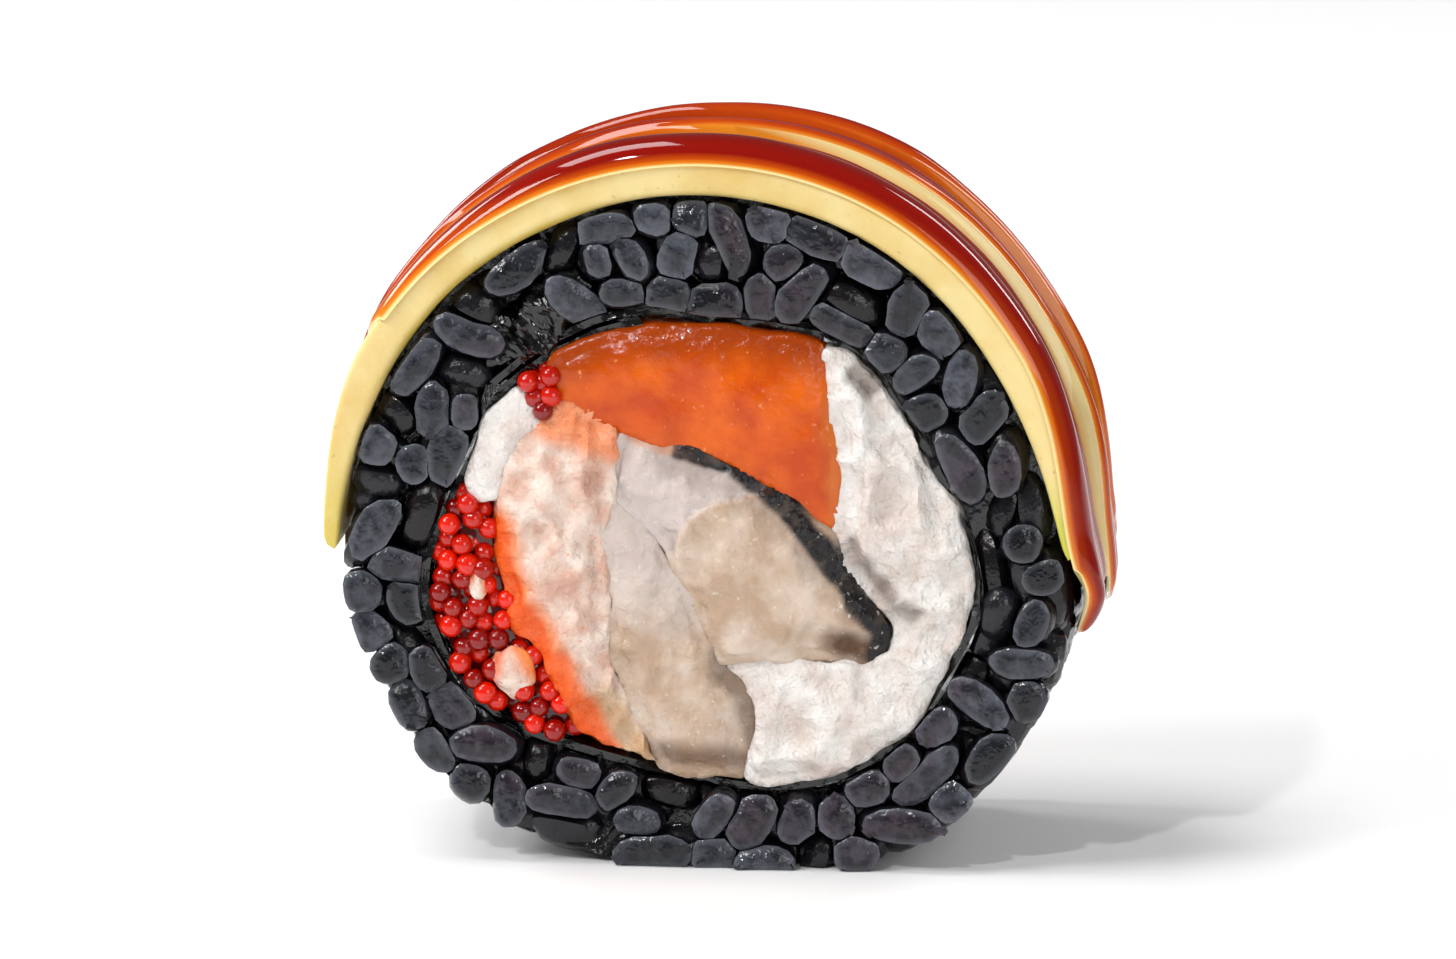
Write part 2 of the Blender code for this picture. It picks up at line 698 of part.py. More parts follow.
def slice_top(index, y, share):
    """Height of a slice's upper face over the rice at depth y."""
    start = SLICE_FRONTS[index]
    end = SLICE_FRONTS[index + 1] if index + 1 < len(SLICE_FRONTS) else HALF
    high = SLICE_HIGH if index == 0 else SLICE_LOW + SLICE_EDGE
    t = (y - start) / (end - start)
    lift = 0.0 if index == 0 else GAP
    if t <= 1:
        return share * (high + (SLICE_LOW - high) * t) + lift * (1 - t)
    return share * SLICE_LOW + (SLICE_TAIL_END - share * SLICE_LOW) * (y - end) / SLICE_TAIL


def slice_angle(index, y, along):
    """Angle of a point of a slice with round tips, from its depth and its share of the way from tip to tip."""
    start, end = SLICE_ANGLES[index]
    front, tail = slice_depths(index)
    along_depth = (y - front) / (tail - front)
    back = TIP_ROUND * (along_depth if index == 0 else 2 * along_depth - 1) ** 2
    return start + back + (end - start - 2 * back) * along


def slice_depths(index):
    """Depths at which a slice starts and ends along the roll."""
    last = index + 1 == len(SLICE_FRONTS)
    return SLICE_FRONTS[index], HALF if last else SLICE_FRONTS[index + 1] + SLICE_TAIL


def slice_section(index, along):
    """Cross-section of a slice at a share of the way from tip to tip, as (angle, depth, height) points."""
    start, tail = slice_depths(index)
    last = index + 1 == len(SLICE_FRONTS)
    end = HALF if last else SLICE_FRONTS[index + 1]
    section = []

    def add(y, height):
        angle = slice_angle(index, y, along)
        section.append((angle, y, height(angle)))

    def top(angle, y):
        return slice_top(index, y, slice_share(index, angle))

    add(start, lambda angle: top(angle, start) - SLICE_BEVEL * slice_share(index, angle))
    bevelled = start + SLICE_BEVEL_RUN
    for y in (bevelled, end) if last else (bevelled, end, tail):
        add(y, lambda angle, y=y: top(angle, y))
    add(tail, lambda angle: 0.0)
    if index == 0:
        add(start, lambda angle: 0.0)
    else:
        add(start + SLICE_TAIL + GAP, lambda angle: 0.0)
        add(start + SLICE_TAIL, lambda angle: SLICE_TAIL_END + GAP)
        add(start, lambda angle: slice_share(index - 1, angle) * SLICE_LOW + GAP)
    return section


def over_rice(angle, y, height):
    """Point in metres at a height over the rice's outside."""
    return placed(polar(rice_outside(angle) + GAP + height, angle), y)


def build_slices(collection):
    """The fanned avocado slices, each with its front edge resting on the tail of the one before."""
    for index in range(len(SLICE_ANGLES)):
        rings = []
        for k in range(SLICE_STATIONS + 1):
            rings.append([over_rice(*point) for point in slice_section(index, k / SLICE_STATIONS)])
        add_object(f"avocado_slice_{index + 1}", loft(rings), "avocado", collection)


def avocado_top(angle, y):
    """Height of the highest avocado at a place, with the room in front of each edge counted as high."""
    index = max(k for k, front in enumerate(SLICE_FRONTS) if y >= front - GAP - 0.15 or k == 0)
    start, end = SLICE_ANGLES[index]
    past = smoothstep(4, 13, max(start - angle, angle - end))
    return slice_top(index, max(y, SLICE_FRONTS[index]), slice_share(index, angle)) * (1 - past)


def build_sauce(collection):
    """The sauce: a thick glaze over the slices that follows their steps and thins out at its edges."""
    rings = []
    for k in range(SAUCE_STATIONS + 1):
        even = k / SAUCE_STATIONS
        u = even + SAUCE_EASING * (0.5 - 0.5 * math.cos(math.pi * even) - even)
        under, over = [], []
        for row, y in enumerate(SAUCE_ROWS):
            angle = SAUCE_RIGHT[row] + (SAUCE_LEFT[row] - SAUCE_RIGHT[row]) * u
            base = avocado_top(angle, y) + GAP
            edge = min(1.0, min(u, 1 - u) * SAUCE_EDGE_RISE) ** 0.5
            ends = 0.0 if row in (0, len(SAUCE_ROWS) - 1) else 1.0
            ridge = SAUCE_RIDGE_SHARE if y in SAUCE_RIDGES else 1.0
            thick = SAUCE_EDGE + (SAUCE_THICKNESS - SAUCE_EDGE) * edge * ends * ridge
            under.append(over_rice(angle, y, base))
            over.append(over_rice(angle, y, base + thick))
        rings.append(over + under[::-1])
    add_object("sauce", loft(rings), "sauce", collection)


def centre_on_origin(collection):
    """Moves all sub-parts together so that the whole stands over the origin."""
    bpy.context.view_layer.update()
    corners = [obj.matrix_world @ Vector(c) for obj in collection.objects for c in obj.bound_box]
    low = Vector([min(c[k] for c in corners) for k in range(3)])
    high = Vector([max(c[k] for c in corners) for k in range(3)])
    shift = Vector((-(low.x + high.x) / 2, -(low.y + high.y) / 2, -low.z))
    for obj in collection.objects:
        obj.data.transform(Matrix.Translation(shift))


def main():
    """Builds the whole piece."""
    for obj in list(bpy.data.objects):
        bpy.data.objects.remove(obj)
    collection = bpy.data.collections.new(COLLECTION)
    cutters = bpy.data.collections.new("cutters")
    for made in (collection, cutters):
        bpy.context.scene.collection.children.link(made)
    cells = filling_cells()
    build_fillings(cells, collection)
    build_roe("roe", cells["roe"], ROE_SEED, collection)
    build_roe("roe_upper", cells["roe_upper"], ROE_SEED + 1, collection)
    build_nori(collection)
    build_rice(collection)
    build_slices(collection)
    build_sauce(collection)
    centre_on_origin(collection)


main()
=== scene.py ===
"""Looks of one cut piece of a black rice uramaki roll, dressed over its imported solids.

The roll's axis runs along Y. Sizes are in millimetres round that axis and angles in degrees, counted from +X
over the top as seen from the front. Meshes are written in metres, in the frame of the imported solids.
"""

import logging
import math
from dataclasses import dataclass, field
from enum import Enum
from functools import reduce
from typing import Callable, Sequence

import bmesh
import bpy
import numpy as np
from mathutils import Matrix, Vector, kdtree


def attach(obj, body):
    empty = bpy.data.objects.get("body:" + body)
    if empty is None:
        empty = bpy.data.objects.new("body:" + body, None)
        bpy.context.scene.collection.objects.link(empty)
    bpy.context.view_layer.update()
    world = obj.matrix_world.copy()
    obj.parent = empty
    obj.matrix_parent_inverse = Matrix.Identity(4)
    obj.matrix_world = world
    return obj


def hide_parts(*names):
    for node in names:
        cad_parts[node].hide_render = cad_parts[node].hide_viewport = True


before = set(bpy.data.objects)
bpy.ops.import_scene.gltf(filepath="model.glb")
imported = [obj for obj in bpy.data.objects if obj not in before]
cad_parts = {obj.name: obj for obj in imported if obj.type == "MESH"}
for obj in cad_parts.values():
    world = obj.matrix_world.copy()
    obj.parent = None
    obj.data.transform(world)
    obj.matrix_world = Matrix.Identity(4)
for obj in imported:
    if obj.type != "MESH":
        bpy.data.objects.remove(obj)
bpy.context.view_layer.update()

log = logging.getLogger("uramaki")

MM = 0.001
# The roll's axis in the row frame, and the floor as seen from it
AXIS = np.array((-0.651, 0.0, 24.0))
FLOOR = -AXIS[2]
# Half the piece's depth, and how far out soft pieces may stand
HALF, REACH = 12.0, 12.4
# Gap between two solids
GAP = 0.3
# How far the fillings turn from face to face, fully within one radius and not at all from the other one on
TWIST, TWISTED_RADIUS, STILL_RADIUS = 8.0, 8.0, 23.0

# Radii of the rice's outside and of the nori's outside, one every 15 degrees, as in the solids
RICE_RADII = (
    24.4, 23.3, 22.8, 22.7, 22.7, 22.6, 22.5, 22.5, 22.6, 22.9, 23.2, 23.7,
    24.4, 25.0, 25.0, 25.7, 25.4, 24.7, 24.3, 25.5, 26.8, 26.8, 26.7, 26.4,
)  # fmt: skip
NORI_RADII = (
    18.3, 17.1, 16.3, 16.4, 15.7, 14.7, 14.3, 14.6, 15.1, 15.7, 16.5, 16.5,
    17.9, 19.9, 20.3, 19.8, 18.5, 17.8, 18.0, 19.2, 20.3, 20.3, 20.1, 20.0,
)  # fmt: skip

# Where the nori overlaps itself, how far the outer layer is lifted, and over how many degrees
SEAM_START, SEAM_END, SEAM_STEP, SEAM_RUN = 108.0, 148.0, 0.85, 22.0

# Inputs and output of a Mix node for colours
MIX_SHARE, MIX_FIRST, MIX_SECOND, MIX_RESULT = 0, 6, 7, 2

Points = np.ndarray
Socket = bpy.types.NodeSocket
Line = Sequence[tuple[float, float]]
Rule = Callable[[Points, Points], Points]


def smoothstep(low: float, high: float, value: Points) -> Points:
    """0 at low, 1 at high, and a smooth rise between. low may be above high."""
    t = np.clip((np.asarray(value, float) - low) / (high - low), 0.0, 1.0)
    return t * t * (3 - 2 * t)


def band(value: Points, low: float, full: float, still_full: float, high: float) -> Points:
    """0 up to low, 1 from full to still_full, and 0 again from high on."""
    return smoothstep(low, full, value) * smoothstep(high, still_full, value)


def periodic(values: Sequence[float], angle: Points) -> Points:
    """Smooth value at an angle, from values spaced evenly round the circle.

    Args:
        values: The values, the first one at 0 degrees.
        angle: Angles in degrees.

    Returns:
        One value for each angle.
    """
    table = np.asarray(values)
    spot = np.mod(angle, 360.0) / 360.0 * len(table)
    start = np.floor(spot).astype(int)
    t = spot - start
    a, b, c, d = (table[(start + k) % len(table)] for k in (-1, 0, 1, 2))
    return 0.5 * (2 * b + (c - a) * t + (2 * a - 5 * b + 4 * c - d) * t**2 + (3 * b - a - 3 * c + d) * t**3)


def bulge(distance: Points, run: float) -> Points:
    """A round edge: 0 at distance 0 and 1 from run on, steep at first and level at the end."""
    return np.sqrt(np.clip(1 - (1 - np.clip(np.asarray(distance, float) / run, 0, 1)) ** 2, 0, 1))


def rice_outside(angle: Points) -> Points:
    """Outer radius of the rice."""
    return periodic(RICE_RADII, angle)


def rice_inside(angle: Points) -> Points:
    """Radius of the hole in the rice, wider where the nori overlaps itself.

    Args:
        angle: Angles in degrees.

    Returns:
        A radius for each angle.
    """
    wrapped = np.mod(angle, 360.0)
    rise = smoothstep(SEAM_START - SEAM_RUN, SEAM_START - 2, wrapped)
    return periodic(NORI_RADII, angle) + GAP + SEAM_STEP * rise * smoothstep(SEAM_END + 8, SEAM_END + 1, wrapped)


def turned(x: Points, z: Points, y: Points, sign: float = 1.0) -> tuple[Points, Points]:
    """Turns points of the middle plane to depth y, as the fillings turn along the roll, or back with sign -1.

    Args:
        x: Their places to the right.
        z: Their places upwards.
        y: Their depths.
        sign: 1 to turn them, -1 to turn them back.

    Returns:
        The new x and z.
    """
    share = 1 - smoothstep(TWISTED_RADIUS, STILL_RADIUS, np.hypot(x, z))
    turn = sign * np.radians(TWIST * y / (2 * HALF) * share)
    return x * np.cos(turn) - z * np.sin(turn), x * np.sin(turn) + z * np.cos(turn)


def in_row(x: Points, y: Points, z: Points) -> Points:
    """Points in millimetres round the roll's axis, as metres in the row frame."""
    return (np.column_stack((x, y, z)) + AXIS) * MM


def around(angle: Points, radius: Points, y: Points) -> Points:
    """Points at an angle, radius and depth, in millimetres round the roll's axis."""
    a = np.radians(angle)
    return np.column_stack((radius * np.cos(a), y, radius * np.sin(a)))


def polar(angle: Points, radius: Points, y: Points) -> Points:
    """Points at an angle, radius and depth, as metres in the row frame."""
    return (around(angle, radius, y) + AXIS) * MM


class Lumps:
    """Soft random lumps in space, made of smoothed random numbers on a grid."""

    # How many random numbers there are, and the primes that spread the grid's points over them
    COUNT = 8192
    PRIMES = 73856093, 19349663, 83492791

    def __init__(self, seed: int) -> None:
        """Draws the random numbers.

        Args:
            seed: The number that the lumps follow from.
        """
        self.table = np.random.default_rng(seed).random(self.COUNT)

    def layer(self, p: Points) -> Points:
        """One layer of lumps of size 1, from -1 to 1.

        Args:
            p: Points, in sizes of a lump.

        Returns:
            A height for each point.
        """
        cell = np.floor(p).astype(np.int64)
        t = p - cell
        t = t * t * t * (t * (t * 6 - 15) + 10)
        total = np.zeros(len(p))
        for corner in range(8):
            step = np.array((corner & 1, corner >> 1 & 1, corner >> 2 & 1))
            near = cell + step
            weight = np.prod(np.where(step, t, 1 - t), axis=1)
            total += weight * self.table[np.bitwise_xor.reduce(near * self.PRIMES, axis=1) % self.COUNT]
        return total * 2 - 1

    def at(
        self,
        p: Points,
        size: float,
        layers: int = 3,
        stretch: Sequence[float] = (1, 1, 1),
        form: Callable[[Points], Points] = lambda height: height,
        shift: float = 17.3,
    ) -> Points:
        """Lumps of several sizes, each half as large and half as high as the one before.

        Args:
            p: Points in millimetres.
            size: Size of the largest lumps, in millimetres.
            layers: How many sizes there are.
            stretch: How much longer the lumps are along each axis.
            form: Makes a height of another form from that of a layer.
            shift: How far each layer is moved from the one before.

        Returns:
            A height from about -1 to 1 for each point.
        """
        scaled = p / (np.asarray(stretch) * size)
        shares = [0.5**k for k in range(layers)]
        heights = (form(self.layer(scaled * 2**k + shift * k)) * share for k, share in enumerate(shares))
        return sum(heights) / sum(shares)

    def ridges(self, p: Points, size: float, layers: int = 3, stretch: Sequence[float] = (1, 1, 1)) -> Points:
        """Sharp crests with hollows between them, from 0 to 1. The arguments are those of at."""
        return self.at(p, size, layers, stretch, lambda height: (1 - np.abs(height)) ** 2, 5.1)


def only(*objs: bpy.types.Object) -> None:
    """Selects these objects and nothing else, the first one active.

    Args:
        objs: The objects.
    """
    bpy.ops.object.select_all(action="DESELECT")
    for obj in objs:
        obj.select_set(True)
    bpy.context.view_layer.objects.active = objs[0]


def applied(obj: bpy.types.Object, kind: str, **settings: object) -> None:
    """Adds a modifier with its settings and applies it.

    Args:
        obj: The object.
        kind: The modifier's type.
        settings: Its properties.
    """
    only(obj)
    made = obj.modifiers.new(kind.lower(), kind)
    for name, value in settings.items():
        setattr(made, name, value)
    bpy.ops.object.modifier_apply(modifier=made.name)


def coordinates(mesh: bpy.types.Mesh) -> Points:
    """The mesh's vertices as they are stored.

    Args:
        mesh: The mesh.

    Returns:
        One row for each vertex.
    """
    flat = np.empty(len(mesh.vertices) * 3)
    mesh.vertices.foreach_get("co", flat)
    return flat.reshape(-1, 3)


def points_of(obj: bpy.types.Object) -> Points:
    """The object's vertices in millimetres round the roll's axis."""
    return coordinates(obj.data) / MM - AXIS


def normals_of(obj: bpy.types.Object) -> Points:
    """The normals at the object's vertices.

    Args:
        obj: The object.

    Returns:
        One row for each vertex.
    """
    flat = np.empty(len(obj.data.vertices) * 3)
    obj.data.vertex_normals.foreach_get("vector", flat)
    return flat.reshape(-1, 3)


def move_points(obj: bpy.types.Object, points: Points) -> None:
    """Puts the object's vertices at points in metres."""
    obj.data.vertices.foreach_set("co", np.asarray(points, float).ravel())
    obj.data.update()


def mark(obj: bpy.types.Object, name: str, values: Points) -> None:
    """Stores one number for each vertex, for a material to read.

    Args:
        obj: The object.
        name: The attribute's name.
        values: One number for each vertex.
    """
    made = obj.data.attributes.new(name, "FLOAT", "POINT")
    made.data.foreach_set("value", np.asarray(values, np.float32))


def smooth_shaded(obj: bpy.types.Object, angle: float = 40.0) -> None:
    """Shades smooth, with sharp edges above an angle in degrees."""
    only(obj)
    bpy.ops.object.shade_smooth_by_angle(angle=math.radians(angle))


def named(obj: bpy.types.Object, name: str) -> bpy.types.Object:
    """Names an object and its mesh."""
    obj.name = obj.data.name = name
    return obj


def primitive(name: str, kind: str, **settings: object) -> bpy.types.Object:
    """Adds one of the basic meshes, to be shaped.

    Args:
        name: The object's name.
        kind: Which mesh it is, as in the name of its operator.
        settings: The operator's settings.

    Returns:
        The object.
    """
    bpy.ops.object.select_all(action="DESELECT")
    getattr(bpy.ops.mesh, f"primitive_{kind}_add")(**settings)
    return named(bpy.context.active_object, name)


def linked(name: str, data: bpy.types.ID) -> bpy.types.Object:
    """Puts a mesh, light or camera into the scene as an object.

    Args:
        name: The object's name.
        data: The mesh, light or camera.

    Returns:
        The object.
    """
    obj = bpy.data.objects.new(name, data)
    bpy.context.scene.collection.objects.link(obj)
    return obj


def joined(name: str, objs: Sequence[bpy.types.Object]) -> bpy.types.Object:
    """Joins objects into one.

    Args:
        name: Name of the one.
        objs: The objects.

    Returns:
        The one.
    """
    only(*objs)
    bpy.ops.object.join()
    return named(bpy.context.active_object, name)


def merged(obj: bpy.types.Object, distance: float, closed: bool = False) -> None:
    """Merges points that lie at one place.

    Args:
        obj: The object.
        distance: How far apart such points may lie, in metres.
        closed: Whether its holes are closed too, and its faces turned outwards.
    """
    only(obj)
    bpy.ops.object.mode_set(mode="EDIT")
    bpy.ops.mesh.select_all(action="SELECT")
    bpy.ops.mesh.remove_doubles(threshold=distance)
    if closed:
        bpy.ops.mesh.fill_holes(sides=0)
        bpy.ops.mesh.select_all(action="SELECT")
        bpy.ops.mesh.normals_make_consistent(inside=False)
    bpy.ops.object.mode_set(mode="OBJECT")


def ring_section(v: Points, reach: float, corner: float) -> tuple[Points, Points]:
    """The section of a ring whose inside and outside are two long sides.

    Args:
        v: Share of the way round the section, from 0 to 1.
        reach: How far it goes to the front and to the back.
        corner: Share of the way that a long side takes.

    Returns:
        The depth, and how far out each point is: 0 inside and 1 outside.
    """
    corners = (0.0, corner, 0.5, 0.5 + corner, 1.0)
    return np.interp(v, corners, (-reach, reach, reach, -reach, -reach)), np.interp(v, corners, (1, 1, 0, 0, 1))


def tube(
    name: str,
    along: int,
    around: int,
    surface: Callable[[Points, Points], Points],
    marks: dict[str, Callable[[Points, Points], Points]] | None = None,
) -> bpy.types.Object:
    """A closed form from a grid whose one side runs along it and whose other side goes round it.

    Args:
        name: The object's name.
        along: Number of steps along it.
        around: Number of steps round it.
        surface: Gives the points in metres, from how far they are along it and round it, both from 0 to 1.
        marks: Numbers to store for its points, by the same two values.

    Returns:
        The object, with its seam merged and its ends closed.
    """
    obj = primitive(name, "grid", x_subdivisions=along, y_subdivisions=around, size=1.0)
    u, v = np.clip(coordinates(obj.data)[:, :2] + 0.5, 0.0, 1.0).T
    move_points(obj, surface(u, v))
    for mark_name, values in (marks or {}).items():
        mark(obj, mark_name, values(u, v))
    merged(obj, 2e-6, closed=True)
    return obj


def copied(name: str, node: str, voxel: float, smoothing: int) -> bpy.types.Object:
    """A fine, soft copy of a solid of the frame.

    Args:
        name: Name of the copy.
        node: Name of the solid.
        voxel: Size of the new mesh's faces, in millimetres.
        smoothing: How many times the points are drawn towards their neighbours.

    Returns:
        The copy.
    """
    obj = linked(name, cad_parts[node].data.copy())
    obj.data.materials.clear()
    merged(obj, 1e-6)
    applied(obj, "REMESH", mode="VOXEL", voxel_size=voxel * MM)
    applied(obj, "SMOOTH", factor=0.5, iterations=smoothing)
    return obj


class Slot(Enum):
    """The material slots of the record that pieces take their finish from."""

    RICE = "black_rice"
    NORI = "nori"
    SALMON = "salmon"
    FISH = "fish"
    SHRIMP = "shrimp"
    CREAM = "cream_cheese"
    ROE = "roe"
    AVOCADO = "avocado"
    SAUCE = "sauce"


def dressed(obj: bpy.types.Object, slot: Slot, materials: Sequence[bpy.types.Material], *nodes: str) -> None:
    """Gives a finished piece its materials and ties it to the frame.

    Args:
        obj: The piece.
        slot: The record's material slot that it takes its finish from; not used.
        materials: Its materials, or none where its mesh has them already.
        nodes: The solids that it stands for.
    """
    if materials:
        obj.data.materials.clear()
    for material in materials:
        obj.data.materials.append(material)
    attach(obj, "root")
    if nodes:
        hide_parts(*nodes)
    log.info("%s: %d faces", obj.name, len(obj.data.polygons))


def linear(colour: str) -> tuple[float, float, float, float]:
    """Turns an sRGB hex colour to linear numbers."""
    parts = [int(colour[k : k + 2], 16) / 255 for k in (1, 3, 5)]
    return (*((c / 12.92 if c <= 0.04045 else ((c + 0.055) / 1.055) ** 2.4) for c in parts), 1.0)


class Shader:
    """A material with a Principled shader, painted in layers. Sizes are real ones, in millimetres."""

    def __init__(self, name: str, base: str, **sockets: object) -> None:
        """Makes the material.

        Args:
            name: Its name.
            base: Its first colour, as a hex value.
            sockets: Values of the shader's sockets, with _ for a space.
        """
        self.made = bpy.data.materials.new(name)
        self.made.use_nodes = True
        self.tree = self.made.node_tree
        self.shader = self.tree.nodes["Principled BSDF"]
        for socket, value in {"Base_Color": linear(base), **sockets}.items():
            self.shader.inputs[socket.replace("_", " ")].default_value = value
        self.base: Socket | str = base
        self.place = self.add("TexCoord", "Object")

    def add(self, kind: str, out: str | int, links: dict | None = None, **settings: object) -> Socket:
        """Adds a node.

        Args:
            kind: The node's type, without ShaderNode.
            out: The output that is wanted.
            links: For each input, a socket that feeds it, a hex colour or a plain value.
            settings: The node's properties.

        Returns:
            The output.
        """
        made = self.tree.nodes.new("ShaderNode" + kind)
        for name, value in settings.items():
            setattr(made, name, value)
        for name, value in (links or {}).items():
            if isinstance(value, Socket):
                self.tree.links.new(value, made.inputs[name])
            else:
                made.inputs[name].default_value = linear(value) if isinstance(value, str) else value
        return made.outputs[out]

    def paint(self, colour: str, number: str = "", span: tuple = (), cloud: tuple = (), most: float = 1.0) -> None:
        """Paints a colour over the ones before, where a stored number and a cloudy pattern are high.

        Args:
            colour: The colour, as a hex value.
            number: Name of the number that the mesh stores.
            span: The number's values at which the colour starts and is full, unless they are 0 and 1.
            cloud: The pattern's size and detail, where it starts and is full, and its least and most, if not 0 and 1.
            most: How much of the colour shows at most.
        """
        shares = [most]
        if number:
            stored = self.add("Attribute", "Fac", attribute_name=number)
            shares.append(self.add("MapRange", 0, {0: stored, 1: span[0], 2: span[1]}) if span else stored)
        if cloud:
            size, detail, *ends = cloud
            noise = self.add("TexNoise", "Fac", {"Vector": self.place, "Scale": 1 / (size * MM), "Detail": detail})
            shares.append(self.add("MapRange", 0, dict(enumerate((noise, *ends)))))
        share = reduce(lambda a, b: self.add("Math", 0, {0: a, 1: b}, operation="MULTIPLY"), shares)
        links = {MIX_SHARE: share, MIX_FIRST: self.base, MIX_SECOND: colour}
        self.base = self.add("Mix", MIX_RESULT, links, data_type="RGBA")
        self.tree.links.new(self.base, self.shader.inputs["Base Color"])

    def see_through(self, share: float, reach: tuple[float, float, float], scale: float) -> None:
        """Lets light in under the surface: its share, and how far each colour goes, in millimetres times scale.

        Args:
            share: How much of the light goes in.
            reach: How far red, green and blue go.
            scale: The millimetres that reach is counted in.
        """
        self.shader.inputs["Subsurface Weight"].default_value = share
        self.shader.inputs["Subsurface Radius"].default_value = reach
        self.shader.inputs["Subsurface Scale"].default_value = scale * MM

    def emboss(self, size: float, detail: float, depth: float) -> None:
        """Adds soft relief of a size, detail and depth, over any that is there.

        Args:
            size: Size of its lumps.
            detail: How many finer sizes lie on them.
            depth: How deep it is.
        """
        noise = self.add("TexNoise", "Fac", {"Vector": self.place, "Scale": 1 / (size * MM), "Detail": detail})
        links = {"Height": noise, "Distance": depth * MM, "Strength": 1.0}
        socket = self.shader.inputs["Normal"]
        if socket.links:
            links["Normal"] = socket.links[0].from_socket
        relief = self.add("Bump", 0, links)
        self.tree.links.new(relief, socket)
        if self.shader.inputs["Coat Weight"].default_value:
            self.tree.links.new(relief, self.shader.inputs["Coat Normal"])


@dataclass(frozen=True)
class GrainSkin:
    """Cooked black rice bran: a wet, almost black skin with a soft sheen, some grains greyer or browner."""

    dark: str = "#040406"
    light: str = "#1d1e24"
    brown: str = "#160f12"

    def made(self) -> bpy.types.Material:
        """Returns the material."""
        m = Shader("black rice bran", self.dark, Roughness=0.22, IOR=1.36, Coat_Weight=0.2, Coat_Roughness=0.05)
        m.paint(self.light, "tone")
        m.paint(self.brown, cloud=(1.6, 3, 0.45, 0.75))
        m.emboss(0.5, 3, 0.09)
        return m.made


@dataclass(frozen=True)
class GrainCut:
    """Cut black rice: smooth grey starch, a little see-through, with a painted highlight round the edge of each cut."""

    dark: str = "#0f1014"
    light: str = "#4c4f59"
    plum: str = "#3f303b"
    # Painted highlight round the edge of each cut
    rim_highlight: str = "#888c96"

    def made(self) -> bpy.types.Material:
        """Returns the material."""
        m = Shader("cut black rice", self.dark, Roughness=0.12, IOR=1.34, Coat_Weight=0.2, Coat_Roughness=0.03)
        m.see_through(0.2, (0.5, 0.5, 0.6), 1.0)
        m.paint(self.light, "tone")
        m.paint(self.plum, cloud=(9.0, 1, 0.5, 0.6), most=0.6)
        m.paint(self.dark, cloud=(1.1, 3, 0.4, 0.6), most=0.75)
        # Painted highlight: a lighter edge round each cut
        m.paint(self.rim_highlight, "rim_highlight", most=0.3)
        m.emboss(1.1, 3, 0.34)
        return m.made


@dataclass(frozen=True)
class BlackFilm:
    """Damp nori or wet black starch: a thin black film, crinkled, and glossy where it is stretched."""

    name: str
    dark: str
    light: str
    roughness: float
    wrinkle: float
    depth: float

    def made(self) -> bpy.types.Material:
        """Returns the material."""
        m = Shader(self.name, self.dark, Roughness=self.roughness, IOR=1.4, Coat_Weight=0.6, Coat_Roughness=0.03)
        m.paint(self.light, cloud=(1.4, 3))
        m.emboss(self.wrinkle, 4, self.depth)
        return m.made


@dataclass(frozen=True)
class SweetGlaze:
    """Sweet soy glaze: clear syrup with a wet shine, dark red where it lies thick, orange and then golden where thin.

    The mesh stores how thick it lies, in millimetres.
    """

    film: str = "#f4da9a"
    # Each deeper colour, and how thick the glaze lies where it starts and where it is full
    stages: tuple[tuple[str, float, float], ...] = (
        ("#dd8820", 0.06, 0.18),
        ("#c24a02", 0.14, 0.4),
        ("#860b00", 0.33, 0.8),
        ("#5e0600", 1.0, 1.7),
    )

    def made(self) -> bpy.types.Material:
        """Returns the material."""
        m = Shader("sweet soy glaze", self.film, Roughness=0.04, IOR=1.38)
        m.see_through(0.15, (1.6, 0.3, 0.05), 0.8)
        for colour, low, high in self.stages:
            m.paint(colour, "thick", span=(low, high))
        return m.made


@dataclass(frozen=True)
class Moist:
    """A moist food: mottled flesh, patches whose places the mesh stores, pale specks, and a wet skin."""

    name: str
    first: str
    second: str
    patches: tuple[tuple[str, str], ...] = ()
    speck: str = ""
    mottle: float = 3.5
    roughness: float = 0.28
    coat: float = 0.2
    reach: tuple[float, float, float] = (1.4, 0.9, 0.6)
    relief: tuple[tuple[float, float], ...] = ((2.0, 0.25), (0.7, 0.1))

    def made(self) -> bpy.types.Material:
        """Returns the material."""
        wet = {"Roughness": self.roughness, "IOR": 1.34, "Coat_Weight": self.coat, "Coat_Roughness": 0.04}
        m = Shader(self.name, self.first, **wet)
        m.see_through(0.2, self.reach, 0.8)
        m.paint(self.second, cloud=(self.mottle, 4, 0.38, 0.64))
        for place, patch in self.patches:
            m.paint(patch, place, cloud=(1.3, 3, 0.3, 0.5, 0.85, 1.0))
        if self.speck:
            m.paint(self.speck, cloud=(0.5, 2, 0.67, 0.77), most=0.6)
        for size, depth in self.relief:
            m.emboss(size, 4, depth)
        return m.made


# Ripe avocado: smooth butter-yellow flesh, greener where the skin was, with painted shade in dark olive low on the
# slices where they sit on the rice, and a painted golden orange glow along the top of the front edge, under the glaze's
# lip
AVOCADO = Moist(
    "ripe avocado flesh", "#e4cf92", "#dabb72", (("under", "#b79c3c"), ("lip_glow", "#cf8428"), ("green", "#bfc13c")),
    "#b09550", mottle=5.0, roughness=0.38, coat=0.1, reach=(1.6, 1.1, 0.35), relief=((3.0, 0.2), (0.8, 0.05)),
)  # fmt: skip
# Raw salmon: smooth, clear orange flesh, browner at its upper edge, with fine pale specks of fat and a painted sheen,
# paler orange, along its right edge
SALMON = Moist(
    "raw salmon", "#bf4200", "#dc6004", (("edge", "#a03c04"), ("pale", "#cd6a26")),
    "#ee9c58", roughness=0.22, coat=0.1, reach=(1.6, 0.5, 0.15), relief=((2.6, 0.35), (0.8, 0.08)),
)  # fmt: skip
